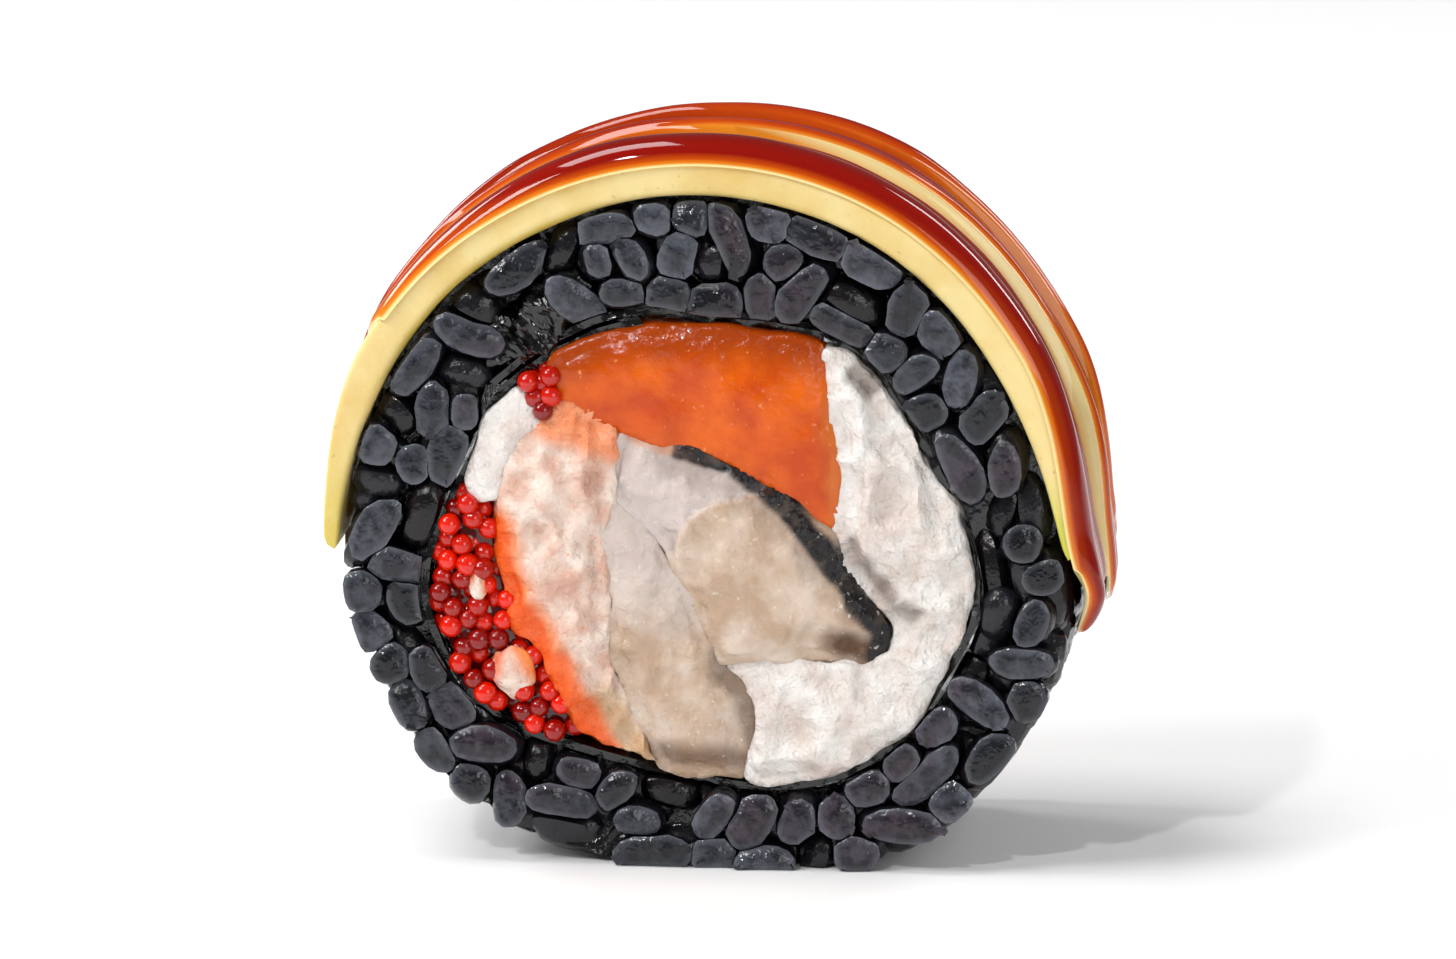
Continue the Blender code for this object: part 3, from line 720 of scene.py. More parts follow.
# Cooked white fish: pearly beige flakes, greyish white on one side of a flake and toward the lower lobe's top, with
# dark skin along one edge and painted shade in brown in its creases, by its belly and along the skin
FISH = Moist(
    "cooked white fish", "#b89d85", "#d2c0b0",
    (("white", "#cabdb7"), ("blush", "#e58c52"), ("brown", "#553820"), ("skin", "#151114")),
    "#e6dbcf", mottle=2.6, roughness=0.2, coat=0.15, relief=((2.2, 0.4), (0.7, 0.2), (0.3, 0.06)),
)  # fmt: skip
# Shredded shrimp: pinkish white threads with orange spots and a glossy orange-red membrane
SHRIMP = Moist(
    "shredded shrimp", "#d6ac99", "#eddccf", (("tan", "#bf9a6e"), ("blush", "#ee8444"), ("orange", "#e85a14")),
    "#e58048", mottle=2.2, roughness=0.2, coat=0.15, reach=(1.6, 0.9, 0.6),
    relief=((1.6, 0.45), (0.6, 0.22), (0.3, 0.07)),
)  # fmt: skip
# Cream cheese torn by the knife: warm white mottled with pinkish grey, with painted shade in grey-brown in its hollow
# and along its sunken seam
CHEESE = Moist(
    "cream cheese", "#eae6e2", "#d6c8bf", (("hollow_shade", "#7a6b62"),),
    mottle=2.8, roughness=0.26, coat=0.15, reach=(0.6, 0.5, 0.45), relief=((1.6, 0.6), (0.6, 0.25), (0.3, 0.07)),
)  # fmt: skip


@dataclass(frozen=True)
class RoeEgg:
    """Flying fish roe: clear red eggs, glossy and wet."""

    dark: str = "#740100"
    light: str = "#e61c00"

    def made(self) -> bpy.types.Material:
        """Returns the material."""
        m = Shader("flying fish roe", self.dark, Roughness=0.06, IOR=1.36, Coat_Weight=0.6, Coat_Roughness=0.02)
        m.see_through(0.15, (1.0, 0.1, 0.05), 0.5)
        m.paint(self.light, "tone")
        return m.made


@dataclass(frozen=True)
class WhiteTable:
    """A plain white table top."""

    white: str = "#f8f8f8"

    def made(self) -> bpy.types.Material:
        """Returns the material."""
        return Shader("white table top", self.white, Roughness=0.5).made


class Face(Enum):
    """The two cut faces, by the way they look along Y."""

    FRONT = -1
    BACK = 1


@dataclass
class Bed:
    """Grains that lie snugly side by side in a plane, in millimetres."""

    centre: Points
    angle: Points
    length: Points
    width: Points
    # How close grains may come, and where along each half they push, how strongly and how far at once
    squeeze: float = 0.96
    shares: tuple[float, ...] = (-1.0, -0.34, 0.34, 1.0)
    push: float = 0.25
    haste: float = 1.2
    most_move: float = 0.6
    most_spin: float = 0.12
    # How much of its half width a grain may give way
    give: float = 0.6

    def ways(self) -> Points:
        """Returns the direction of each grain."""
        return np.column_stack((np.cos(self.angle), np.sin(self.angle)))

    def settle(self, confine: Callable[[Points, Points], Points], rounds: int = 150) -> None:
        """Lets the grains push each other apart until they lie snugly.

        Args:
            confine: Moves points, each with a half width, to where they may lie.
            rounds: How often they push.
        """
        count, parts = len(self.length), len(self.shares)
        owner = np.repeat(np.arange(count), parts)
        others = owner[:, None] != owner[None]
        room = (self.width[owner][:, None] + self.width[owner][None]) * self.squeeze
        reach = (self.length - self.width)[:, None] * np.array(self.shares)
        for _ in range(rounds):
            way = self.ways()
            arm = way[:, None] * reach[..., None]
            spots = (self.centre[:, None] + arm).reshape(-1, 2)
            apart = spots[:, None] - spots[None]
            distance = np.hypot(apart[..., 0], apart[..., 1]) + 1e-6
            push = np.clip(room - distance, 0.0, None) * others / distance
            move = (apart * push[..., None]).sum(axis=1) * self.push + (confine(spots, self.width[owner]) - spots)
            move = move.reshape(count, parts, 2)
            self.centre = self.centre + np.clip(move.mean(axis=1) * self.haste, -self.most_move, self.most_move)
            spin = (arm[..., 0] * move[..., 1] - arm[..., 1] * move[..., 0]).sum(axis=1)
            spin /= (arm**2).sum(axis=(1, 2)) + self.width**2
            self.angle = self.angle + np.clip(spin, -self.most_spin, self.most_spin)

    def away(self, index: int, points: Points) -> tuple[Points, Points]:
        """Returns how far points are from a grain's middle line, in its half widths, and the nearest points of it.

        Args:
            index: The grain.
            points: The points.

        Returns:
            The distances and the nearest points.
        """
        way = self.ways()[index]
        reach = self.length[index] - self.width[index]
        along = np.clip((points - self.centre[index]) @ way, -reach, reach)
        nearest = self.centre[index] + along[:, None] * way
        return np.hypot(*(points - nearest).T) / self.width[index], nearest

    def pressed(self, index: int, points: Points, gap: float) -> Points:
        """Moves a grain's points back from where its neighbours press on it.

        Args:
            index: The grain.
            points: Its points in the plane.
            gap: Room that stays between two grains, in half widths.

        Returns:
            The points.
        """
        own, nearest = self.away(index, points)
        reach = self.length + self.length[index] + 0.5
        close = np.flatnonzero(np.hypot(*(self.centre - self.centre[index]).T) < reach)
        other = np.full(len(points), 1e9)
        for near_one in close[close != index]:
            other = np.minimum(other, self.away(near_one, points)[0])
        back = np.clip((own - other + gap) / 2, 0.0, own * self.give)
        return nearest + (points - nearest) * (1 - back / np.maximum(own, 1e-6))[:, None]


@dataclass
class BlackRice:
    """The ring of black rice: real grains, pressed together, over a dark core."""

    half_width: float = 1.34
    half_lengths: tuple[float, float] = (1.5, 3.1)
    face_count: int = 86
    deep_count: int = 76
    side_count: int = 172
    fullness: float = 1.06
    lengthening: float = 1.04
    width_shares: tuple = (0.88, 1.1)
    angle_spread: float = 0.6
    variants: int = 6
    gap: float = 0.04
    core_lift: float = 0.05
    grain_lift: float = 0.03
    cut_share: float = 0.84
    face_recess: float = 2.4
    side_recess: float = 1.3
    side_start: float = 179.0
    side_end: float = 359.0
    side_radius: float = 25.4
    side_reach: float = 10.4
    fold_centre: tuple[float, float] = (-11.0, 13.5)
    fold_size: float = 3.2
    bare_zone: tuple = (174.0, 181.0, 356.0, 360.0)
    film_zone: tuple = (184.0, 196.0, 262.0, 300.0)
    open_zone: tuple = (184.0, 190.0, 348.0, 354.0)
    cut_sinks: tuple = (0.15, 0.8)
    whole_sinks: tuple = (0.95, 1.7)
    side_sinks: tuple = (0.9, 1.15)
    deep_range: tuple = (2.5, 3.2)
    tilts: tuple = (0.13, 0.2, 0.1)
    plane_range: tuple = (-0.45, 0.0)
    dome_range: tuple = (0.12, 0.4)
    lean: float = 0.09
    # Width of each ring of a cut, how much of the dome it rises, and how much painted highlight it takes
    rings: tuple = ((0.12, 0.35, 0.6), (0.38, 0.4, 0.0))
    dome_tip: float = 0.25
    seed: int = 11
    shapes: list[tuple[bpy.types.Mesh, Points]] = field(default_factory=list)
    pieces: list[bpy.types.Object] = field(default_factory=list)

    def build(self) -> None:
        """Builds and dresses the core and the grains."""
        # Wet starch from black rice: black, drawn into small glossy wrinkles
        starch = BlackFilm("wet black rice starch", "#010102", "#080708", 0.12, 0.8, 0.2)
        dressed(self.core(), Slot.RICE, [starch.made()], "rice")
        self.shapes = [self.grain_shape(variant) for variant in range(self.variants)]
        finishes = GrainSkin().made(), GrainCut().made()
        for mesh, _ in self.shapes:
            for finish in finishes:
                mesh.materials.append(finish)
        for face in Face:
            self.face(face)
        self.side()
        rice = joined("rice_grains", self.pieces)
        smooth_shaded(rice, 38.0)
        dressed(rice, Slot.RICE, [], "rice")

    def core(self) -> bpy.types.Object:
        """Returns the dark ring under the grains."""
        lumps = Lumps(31)

        def surface(u: Points, v: Points) -> Points:
            """The core, round the roll by u and round its section by v."""
            angle = 360.0 * u
            bare, film = band(angle, *self.bare_zone), band(angle, *self.film_zone)
            outer = rice_outside(angle) + 0.25 - bare * (0.55 + self.side_recess * (1 - 0.8 * film))
            inner = rice_inside(angle)
            y, share = ring_section(v, HALF - self.face_recess, 0.4)
            radius = inner + (outer - inner) * share
            p = around(angle, radius, y)
            radius = radius + (0.06 + 0.24 * bare) * share * lumps.at(p, 2.5, 3)
            radius = radius + 0.7 * film * share * (lumps.ridges(p, 1.8, 3) - 0.5)
            y = y * (1 + 0.11 * film * share**3) + 0.5 * lumps.at(p + 40.0, 2.5, 3)
            x, y, z = around(angle, radius, np.clip(y, -REACH, REACH)).T
            return in_row(x, y, np.maximum(z, FLOOR + self.core_lift))

        obj = tube("rice_core", 300, 90, surface)
        smooth_shaded(obj)
        return obj

    def grain_shape(self, variant: int) -> tuple[bpy.types.Mesh, Points]:
        """Models a grain of half size 1 along each axis.

        Args:
            variant: Its number, which gives it its own small lumps and bend.

        Returns:
            The mesh and its points, as columns along the grain, across it and up.
        """
        obj = primitive(f"grain_shape_{variant}", "uv_sphere", segments=10, ring_count=8, radius=1.0)
        p = coordinates(obj.data)[:, (2, 0, 1)]
        full = np.sqrt(np.clip(1 - np.abs(p[:, 0]) ** 2.5, 0, 1)) / np.sqrt(np.clip(1 - p[:, 0] ** 2, 1e-6, 1))
        p[:, 1:] *= full[:, None]
        lumps = Lumps(40 + variant)
        p *= 1 + 0.12 * lumps.at(p + 9.0 * variant, 1.2, 2)[:, None]
        p[:, 1] += 0.14 * (p[:, 0] ** 2 - 0.4) * (1 if variant % 2 else -1)
        mesh = obj.data
        bpy.data.objects.remove(obj)
        return mesh, p

    def bed(self, rng: np.random.Generator, count: int, centre: Points, angle: Points) -> Bed:
        """Returns loose grains of mixed lengths.

        Args:
            rng: The random numbers.
            count: How many there are.
            centre: Where they lie.
            angle: The way they point, before each is turned a little.
        """
        low, high = self.half_lengths
        length = low + (high - low) * rng.random(count) ** 1.5
        width = self.half_width * rng.uniform(*self.width_shares, count)
        return Bed(centre, angle + rng.normal(0, self.angle_spread, count), np.maximum(length, width * 1.08), width)

    def ring_bed(self, seed: int, count: int) -> Bed:
        """Returns grains that lie snugly in the ring of a cut face.

        Args:
            seed: The number that they follow from.
            count: How many there are.
        """
        rng = np.random.default_rng(seed)
        angle = rng.uniform(0, 360, count)
        share = rng.uniform(0.2, 0.8, count)
        radius = rice_inside(angle) * (1 - share) + rice_outside(angle) * share
        a = np.radians(angle)
        centre = np.column_stack((radius * np.cos(a), radius * np.sin(a)))
        bed = self.bed(rng, count, centre, a + math.pi / 2)
        fold = np.array(self.fold_centre)

        def confine(points: Points, width: Points) -> Points:
            """Keeps points in the ring and clear of the nori's fold."""
            off = points - fold
            far = np.hypot(*off.T)
            least = self.fold_size + width * 0.6
            points = np.where((far < least)[:, None], fold + off / far[:, None] * least[:, None], points)
            r, angle = np.hypot(*points.T), np.degrees(np.arctan2(points[:, 1], points[:, 0]))
            inner, outer = rice_inside(angle) - 0.1 + width * 0.85, rice_outside(angle) - 0.1 - width * 0.85
            return points * (np.clip(r, inner, np.maximum(outer, inner)) / r)[:, None]

        bed.settle(confine)
        return bed

    def face(self, face: Face) -> None:
        """Lays the grains of a cut face, most of them cut by the knife, and the whole ones that show between them.

        Args:
            face: The cut face.
        """
        bed = self.ring_bed(self.seed + face.value, self.face_count)
        rng = np.random.default_rng(self.seed + 100 + face.value)
        for index in range(self.face_count):
            cut = rng.random() < self.cut_share
            sink = rng.uniform(*(self.cut_sinks if cut else self.whole_sinks))
            tilt = rng.normal(0, self.tilts[0], 2)
            depth = HALF - sink * bed.width[index]
            plane = face.value * (HALF + rng.uniform(*self.plane_range)) if cut else None
            self.lay(bed, index, rng, lambda q, h: self.on_face(face, q, depth + h), tilt, plane)
        bed = self.ring_bed(self.seed + 200 + face.value, self.deep_count)
        rng = np.random.default_rng(self.seed + 300 + face.value)
        for index in range(self.deep_count):
            depth = HALF - rng.uniform(*self.deep_range)
            tilt = rng.normal(0, self.tilts[1], 2)
            self.lay(bed, index, rng, lambda q, h: self.on_face(face, q, depth + h), tilt)

    def on_face(self, face: Face, q: Points, height: Points) -> Points:
        """Points of a cut face in the ring's own frame, kept within the ring.

        Args:
            face: The cut face.
            q: Points in its plane.
            height: Their depths.

        Returns:
            The points.
        """
        r, angle = np.hypot(*q.T), np.degrees(np.arctan2(q[:, 1], q[:, 0]))
        open_side = band(np.mod(angle, 360), *self.open_zone)
        kept = np.clip(r, rice_inside(angle) - 0.12, rice_outside(angle) - 0.02 + 0.15 * open_side)
        q = q * (kept / r)[:, None]
        return np.column_stack((q[:, 0], face.value * height, q[:, 1]))

    def side(self) -> None:
        """Lays the whole grains of the bare round side."""
        low, high = (math.radians(a) * self.side_radius for a in (self.side_start, self.side_end))
        rng = np.random.default_rng(self.seed + 2)
        count = self.side_count
        centre = np.column_stack((rng.uniform(low, high, count), rng.uniform(-self.side_reach, self.side_reach, count)))
        bed = self.bed(rng, count, centre, np.where(rng.random(count) < 0.6, 0.0, math.pi / 2))

        def confine(points: Points, width: Points) -> Points:
            """Keeps points on the bare side."""
            reach = self.side_reach - width * 0.7
            along = np.clip(points[:, 0], low + width * 0.7, high - width * 0.7)
            return np.column_stack((along, np.clip(points[:, 1], -reach, reach)))

        bed.settle(confine)
        for index in range(count):
            sink = rng.uniform(*self.side_sinks) * bed.width[index]
            tilt = rng.normal(0, self.tilts[2], 2)
            self.lay(bed, index, rng, lambda q, h: self.on_side(q, h - sink), tilt)

    def on_side(self, q: Points, height: Points) -> Points:
        """Points of the round side, from the arc length, the depth and the height over the rice.

        Args:
            q: Arc lengths and depths.
            height: Heights over the rice.

        Returns:
            The points.
        """
        angle = q[:, 0] / self.side_radius
        radius = rice_outside(np.degrees(angle)) + height
        return np.column_stack((radius * np.cos(angle), q[:, 1], radius * np.sin(angle)))

    def lay(
        self,
        bed: Bed,
        index: int,
        rng: np.random.Generator,
        place: Callable[[Points, Points], Points],
        tilt: Points,
        plane: float | None = None,
    ) -> None:
        """Lays one grain of a bed in its place.

        Args:
            bed: The bed.
            index: The grain.
            rng: The random numbers, for its shape and tone.
            place: Gives points round the roll's axis from those of the bed and their heights.
            tilt: How much it leans along and across itself.
            plane: Depth at which it is cut, or None for a whole grain.
        """
        mesh, shape = self.shapes[int(rng.integers(len(self.shapes)))]
        width, length = bed.width[index] * self.fullness, bed.length[index] * self.lengthening
        local = shape * (length, width, width)
        way = bed.ways()[index]
        q = bed.centre[index] + local[:, :1] * way + local[:, 1:2] * np.array((-way[1], way[0]))
        height = local[:, 2] + local[:, 0] * tilt[0] + local[:, 1] * tilt[1]
        p = place(bed.pressed(index, q, self.gap), height)
        p[:, 2] = np.maximum(p[:, 2], FLOOR + self.grain_lift)
        mesh = mesh.copy()
        mesh.vertices.foreach_set("co", in_row(*p.T).ravel())
        bm = bmesh.new()
        bm.from_mesh(mesh)
        bmesh.ops.recalc_face_normals(bm, faces=bm.faces[:])
        # How much painted highlight each point at the edge of a cut takes
        rim_highlight = bm.verts.layers.float.new("rim_highlight")
        tone = bm.verts.layers.float.new("tone")
        shade = rng.random()
        if plane is not None:
            x, z = bed.centre[index]
            lean = rng.normal(0, self.lean, 2)
            dome = rng.uniform(*self.dome_range)
            self.knife(bm, rim_highlight, (x, plane, z), (lean[0], np.sign(plane), lean[1]), dome)
        for vert in bm.verts:
            vert[tone] = shade
            vert.co.y = min(max(vert.co.y, -REACH * MM), REACH * MM)
            vert.co.z = max(vert.co.z, self.grain_lift * MM)
        bm.to_mesh(mesh)
        bm.free()
        self.pieces.append(linked("grain", mesh))

    def knife(self, bm: bmesh.types.BMesh, rim_highlight: object, spot: tuple, normal: tuple, dome: float) -> None:
        """Cuts a grain flat and gives the cut a ringed edge with a painted highlight, and a low dome. Each grain has a
        cut of its own.

        Args:
            bm: The grain's mesh, in the row frame.
            rim_highlight: The layer that marks how much painted highlight the cut's edge takes.
            spot: A point of the cut, in millimetres round the roll's axis.
            normal: The way it looks.
            dome: How far its middle stands out, in millimetres.
        """
        normal = Vector(normal).normalized()
        geom = [*bm.verts, *bm.edges, *bm.faces]
        where = (Vector(spot) + Vector(AXIS)) * MM
        made = bmesh.ops.bisect_plane(bm, geom=geom, plane_co=where, plane_no=normal, clear_outer=True)
        edges = [e for e in made["geom_cut"] if isinstance(e, bmesh.types.BMEdge)]
        cap = bmesh.ops.contextual_create(bm, geom=edges)["faces"] if len(edges) > 2 else []
        if not cap:
            return
        bmesh.ops.recalc_face_normals(bm, faces=bm.faces[:])
        cut = list(cap)
        for vert in cap[0].verts:
            vert[rim_highlight] = 1.0
        for wide, high, light in self.rings:
            ring = bmesh.ops.inset_region(bm, faces=cap, thickness=wide * MM, depth=0.0)["faces"]
            cut += ring
            for vert in cap[0].verts:
                vert[rim_highlight] = light
                vert.co += normal * dome * high * MM
        fan = bmesh.ops.poke(bm, faces=cap)
        for vert in fan["verts"]:
            vert.co += normal * dome * self.dome_tip * MM
        for face in {*cut, *fan["faces"]}:
            if face.is_valid:
                face.material_index = 1


@dataclass
class Nori:
    """The nori sheet that goes once round the fillings, and the crumpled fold where its end sticks out."""

    thickness: float = 0.5
    recess: float = 1.3
    fold_start: float = 111.0
    fold_end: float = 149.0
    fold_radius: float = 17.7
    fold_wide: float = 2.5
    fold_deep: float = 2.3
    fold_crease: float = 1.8
    fold_in: float = 2.9
    fold_squareness: float = 0.8

    def build(self) -> None:
        """Builds and dresses the sheet and the fold."""
        # Damp roasted nori: black with a green cast, crinkled, and glossy in streaks
        finish = BlackFilm("damp roasted nori", "#010201", "#060706", 0.12, 0.8, 0.16).made()
        sheet = tube("nori_sheet", 320, 34, self.sheet(Lumps(3)))
        fold = tube("nori_fold", 110, 60, self.fold(Lumps(4)))
        back = tube("nori_fold_back", 110, 60, self.fold(Lumps(5), 1))
        for obj in (sheet, fold, back):
            smooth_shaded(obj, 50.0)
            dressed(obj, Slot.NORI, [finish], "nori")

    def sheet(self, lumps: Lumps) -> Callable[[Points, Points], Points]:
        """Returns the surface of the sheet, with its waves from lumps.

        Args:
            lumps: The lumps.

        Returns:
            A function of how far along and round the sheet a point is.
        """

        def surface(u: Points, v: Points) -> Points:
            """The sheet, round the roll by u and round its section by v."""
            travel = (360.0 + SEAM_END - SEAM_START) * u
            angle = SEAM_START + travel
            step = (SEAM_STEP - 0.03) * smoothstep(360.0 - SEAM_RUN, 358.0, travel)
            reach = HALF - self.recess
            y, share = ring_section(v, reach, 0.47)
            radius = periodic(NORI_RADII, angle) + step - self.thickness * (1 - share)
            x, _, z = around(angle, radius, y).T
            x, z = turned(x, z, y)
            wave = 0.12 * lumps.at(np.column_stack((x, y, z)), 2.2, 2)
            scale = 1 + wave / radius
            edge = 0.5 * lumps.at(np.column_stack((x, y * 0, z)), 1.5, 2) * np.abs(y) / reach
            return in_row(x * scale, y + edge, z * scale)

        return surface

    def fold(self, lumps: Lumps, side: int = -1) -> Callable[[Points, Points], Points]:
        """Returns the surface of the crumpled fold on one side.

        Args:
            lumps: The lumps that crumple it.
            side: -1 for the front, 1 for the back.
        """

        def surface(u: Points, v: Points) -> Points:
            """The fold, along it by u and round its section by v."""
            angle = self.fold_start + (self.fold_end - self.fold_start) * u
            thick = np.sqrt(np.clip(4 * u * (1 - u), 0, 1))
            turn = 2 * math.pi * v
            across = np.sign(np.cos(turn)) * np.abs(np.cos(turn)) ** self.fold_squareness * self.fold_wide * thick
            deep = np.sign(np.sin(turn)) * np.abs(np.sin(turn)) ** self.fold_squareness * self.fold_deep * thick
            radius = self.fold_radius + across
            y = side * (HALF - self.fold_in) + deep
            p = around(angle, radius, y)
            crease = lumps.ridges(p, 2.2, 3, (1.0, 1.6, 1.0)) - 0.55
            radius = radius + self.fold_crease * 0.8 * crease * np.cos(turn) * thick
            y = y + self.fold_crease * crease * np.sin(turn) * thick
            return polar(angle, radius, np.clip(y, -HALF, HALF))

        return surface


@dataclass
class Avocado:
    """Three fanned avocado slices over the top of the rice."""

    angles: tuple = ((-4.0, 185.0), (-15.0, 181.0), (-11.0, 190.0))
    fronts: tuple = (-HALF, -0.6, 6.6)
    high: float = 2.75
    low: float = 1.5
    edge: float = 1.35
    tail: float = 4.5
    tail_end: float = 0.3
    tip_share: float = 0.42
    tip_reach: float = 34.0
    tip_round: float = 7.0
    brow_drop: float = 0.5
    brow_run: float = 1.2
    green_left: float = 22.0
    green_right: tuple = (16, 2)
    # Angles where the painted shade low on the slices is strongest, and over what height it fades
    under_shade_zone: tuple = (95, 118, 145, 160)
    under_shade_run: tuple = (0.05, 0.7)
    # Angles over which the painted glow under the glaze's lip fades out
    lip_glow_end: tuple = (150, 138)

    def depths(self, index: int) -> tuple[float, float, float]:
        """Returns where a slice starts, where the next one starts and where its tail ends.

        Args:
            index: The slice's number.

        Returns:
            The three depths.
        """
        last = index + 1 == len(self.fronts)
        end = HALF if last else self.fronts[index + 1]
        return self.fronts[index], end, HALF if last else end + self.tail

    def share(self, index: int, angle: Points) -> Points:
        """Returns how thick a slice is at an angle, from its thin tips to its full middle.

        Args:
            index: The slice's number.
            angle: Angles in degrees.

        Returns:
            A share for each angle.
        """
        start, end = self.angles[index]
        angle = np.clip(angle, start, end)
        rise = smoothstep(0, self.tip_reach, angle - start) * smoothstep(0, self.tip_reach, end - angle)
        return self.tip_share + (1 - self.tip_share) * rise

    def brow(self, y: Points) -> Points:
        """Returns how far the rounded upper front edge of the first slice lies under its flat top."""
        return self.brow_drop * (1 - bulge(y + HALF, self.brow_run))

    def top(self, index: int, y: Points, share: Points) -> Points:
        """Returns the height of a slice's upper face over the rice.

        Args:
            index: The slice's number.
            y: Depths.
            share: How thick the slice is there.

        Returns:
            The heights.
        """
        start, end, _ = self.depths(index)
        high = self.high if index == 0 else self.low + self.edge
        t = (y - start) / (end - start)
        lift = 0.0 if index == 0 else GAP
        front = share * (high + (self.low - high) * t) + lift * (1 - t)
        back = share * self.low + (self.tail_end - share * self.low) * (y - end) / self.tail
        return np.where(t <= 1, front, back)

    def upper(self, angle: Points, y: Points) -> Points:
        """Returns the height of the highest avocado over the rice, for the sauce.

        Args:
            angle: Angles in degrees.
            y: Depths.

        Returns:
            The heights.
        """
        best = np.zeros(np.broadcast(angle, y).shape)
        for index, front in enumerate(self.fronts):
            start, end = self.angles[index]
            past = smoothstep(4, 13, np.maximum(start - angle, angle - end))
            height = self.top(index, np.maximum(y, front), self.share(index, angle)) * (1 - past)
            best = np.where((y >= front) | (index == 0), height, best)
        return best

    def build(self) -> None:
        """Builds and dresses the slices."""
        flesh = AVOCADO.made()
        for index, front in enumerate(self.fronts):
            obj = tube(f"avocado_{index + 1}", 260, 100, lambda u, v, index=index: self.surface(index, u, v))
            smooth_shaded(obj, 60.0)
            p = points_of(obj)
            angle = np.degrees(np.arctan2(p[:, 2], p[:, 0])) % 360
            angle = np.where(angle > 300, angle - 360, angle)
            start, end = self.angles[index]
            left = smoothstep(end - self.green_left, end, angle)
            right = smoothstep(start + self.green_right[0], start + self.green_right[1], angle)
            mark(obj, "green", 0.35 * left + 0.8 * right)
            height = np.hypot(p[:, 0], p[:, 2]) - rice_outside(angle) - GAP
            # Painted shade: darker olive low on the slice, where it sits on the rice
            under = 1 - smoothstep(*self.under_shade_run, height)
            mark(obj, "under", under * (0.25 + 0.75 * band(angle, *self.under_shade_zone)))
            top = self.top(index, p[:, 1], self.share(index, angle)) - (self.brow(p[:, 1]) if index == 0 else 0)
            # Painted glow: golden orange along the top of the front band, under the glaze's lip
            lip_glow = smoothstep(0.5, 0.0, top - height) * smoothstep(front + 2, front + 1, p[:, 1])
            mark(obj, "lip_glow", 0.45 * lip_glow * smoothstep(*self.lip_glow_end, angle))
            dressed(obj, Slot.AVOCADO, [flesh], f"avocado_slice_{index + 1}")

    def surface(self, index: int, u: Points, v: Points) -> Points:
        """Points of a slice, from tip to tip and round its section, in metres.

        Args:
            index: The slice's number.
            u: Share of the way from tip to tip.
            v: Share of the way round the section.

        Returns:
            The points.
        """
        start, end, tail = self.depths(index)
        last = index + 1 == len(self.fronts)
        first, final = self.angles[index]
        lumps = Lumps(60 + index)
        middle = first + (final - first) * u
        share = self.share(index, middle)
        if index == 0:
            tops = [(start + d, float(self.brow(start + d))) for d in (0.02, 0.1, 0.25, 0.5, 0.9, self.brow_run)]
        else:
            tops = [(start + 0.04, 0.6), (start + 0.25, 0.25), (start + 0.6, 0.0)]
        tops.append((end - (0.5 if last else 0.0), 0.0))
        tops.append((HALF - 0.05, 0.35) if last else (tail, 0.0))
        y_top = [y for y, _ in tops]
        h_top = [self.top(index, np.full_like(u, y), share) - drop * share for y, drop in tops]
        if index == 0:
            below = [(tail - 0.1, 0 * u), (start + 0.3, 0 * u), (start + 0.04, 0.3 * share)]
        else:
            rest = self.share(index - 1, middle) * self.low + GAP
            below = [
                (tail - 0.1, 0 * u),
                (start + self.tail + GAP, 0 * u),
                (start + self.tail, self.tail_end + GAP + 0 * u),
                (start + 0.3, rest * 0.97),
                (start + 0.04, rest + 0.12),
            ]
        y_all = np.array([*y_top, *(y for y, _ in below), y_top[0]])
        h_all = np.array([*h_top, *(h for _, h in below), h_top[0]])
        lengths = np.maximum(np.abs(np.diff(y_all)), 0.35)
        lengths[-1] = self.high
        stops = np.concatenate(((0.0,), np.cumsum(lengths) / lengths.sum()))
        place = np.clip(np.searchsorted(stops, v, side="right") - 1, 0, len(stops) - 2)
        t = (v - stops[place]) / (stops[place + 1] - stops[place])
        columns = np.arange(len(u))
        y = y_all[place] + (y_all[place + 1] - y_all[place]) * t
        h = h_all[place, columns] + (h_all[place + 1, columns] - h_all[place, columns]) * t
        depth = (y - start) / (tail - start)
        back = self.tip_round * (depth if index == 0 else 2 * depth - 1) ** 2
        angle = first + back + (final - first - 2 * back) * u
        tip = np.minimum(u, 1 - u) * (final - first) * 0.4
        middle_height = 0.25 * h_top[2]
        h = middle_height + (h - middle_height) * bulge(tip, 1.1)
        wave = 0.09 * lumps.at(np.column_stack((angle * 0.4, y, 0 * y)), 5.0, 3)
        return polar(angle, rice_outside(angle) + GAP + h + wave, y)


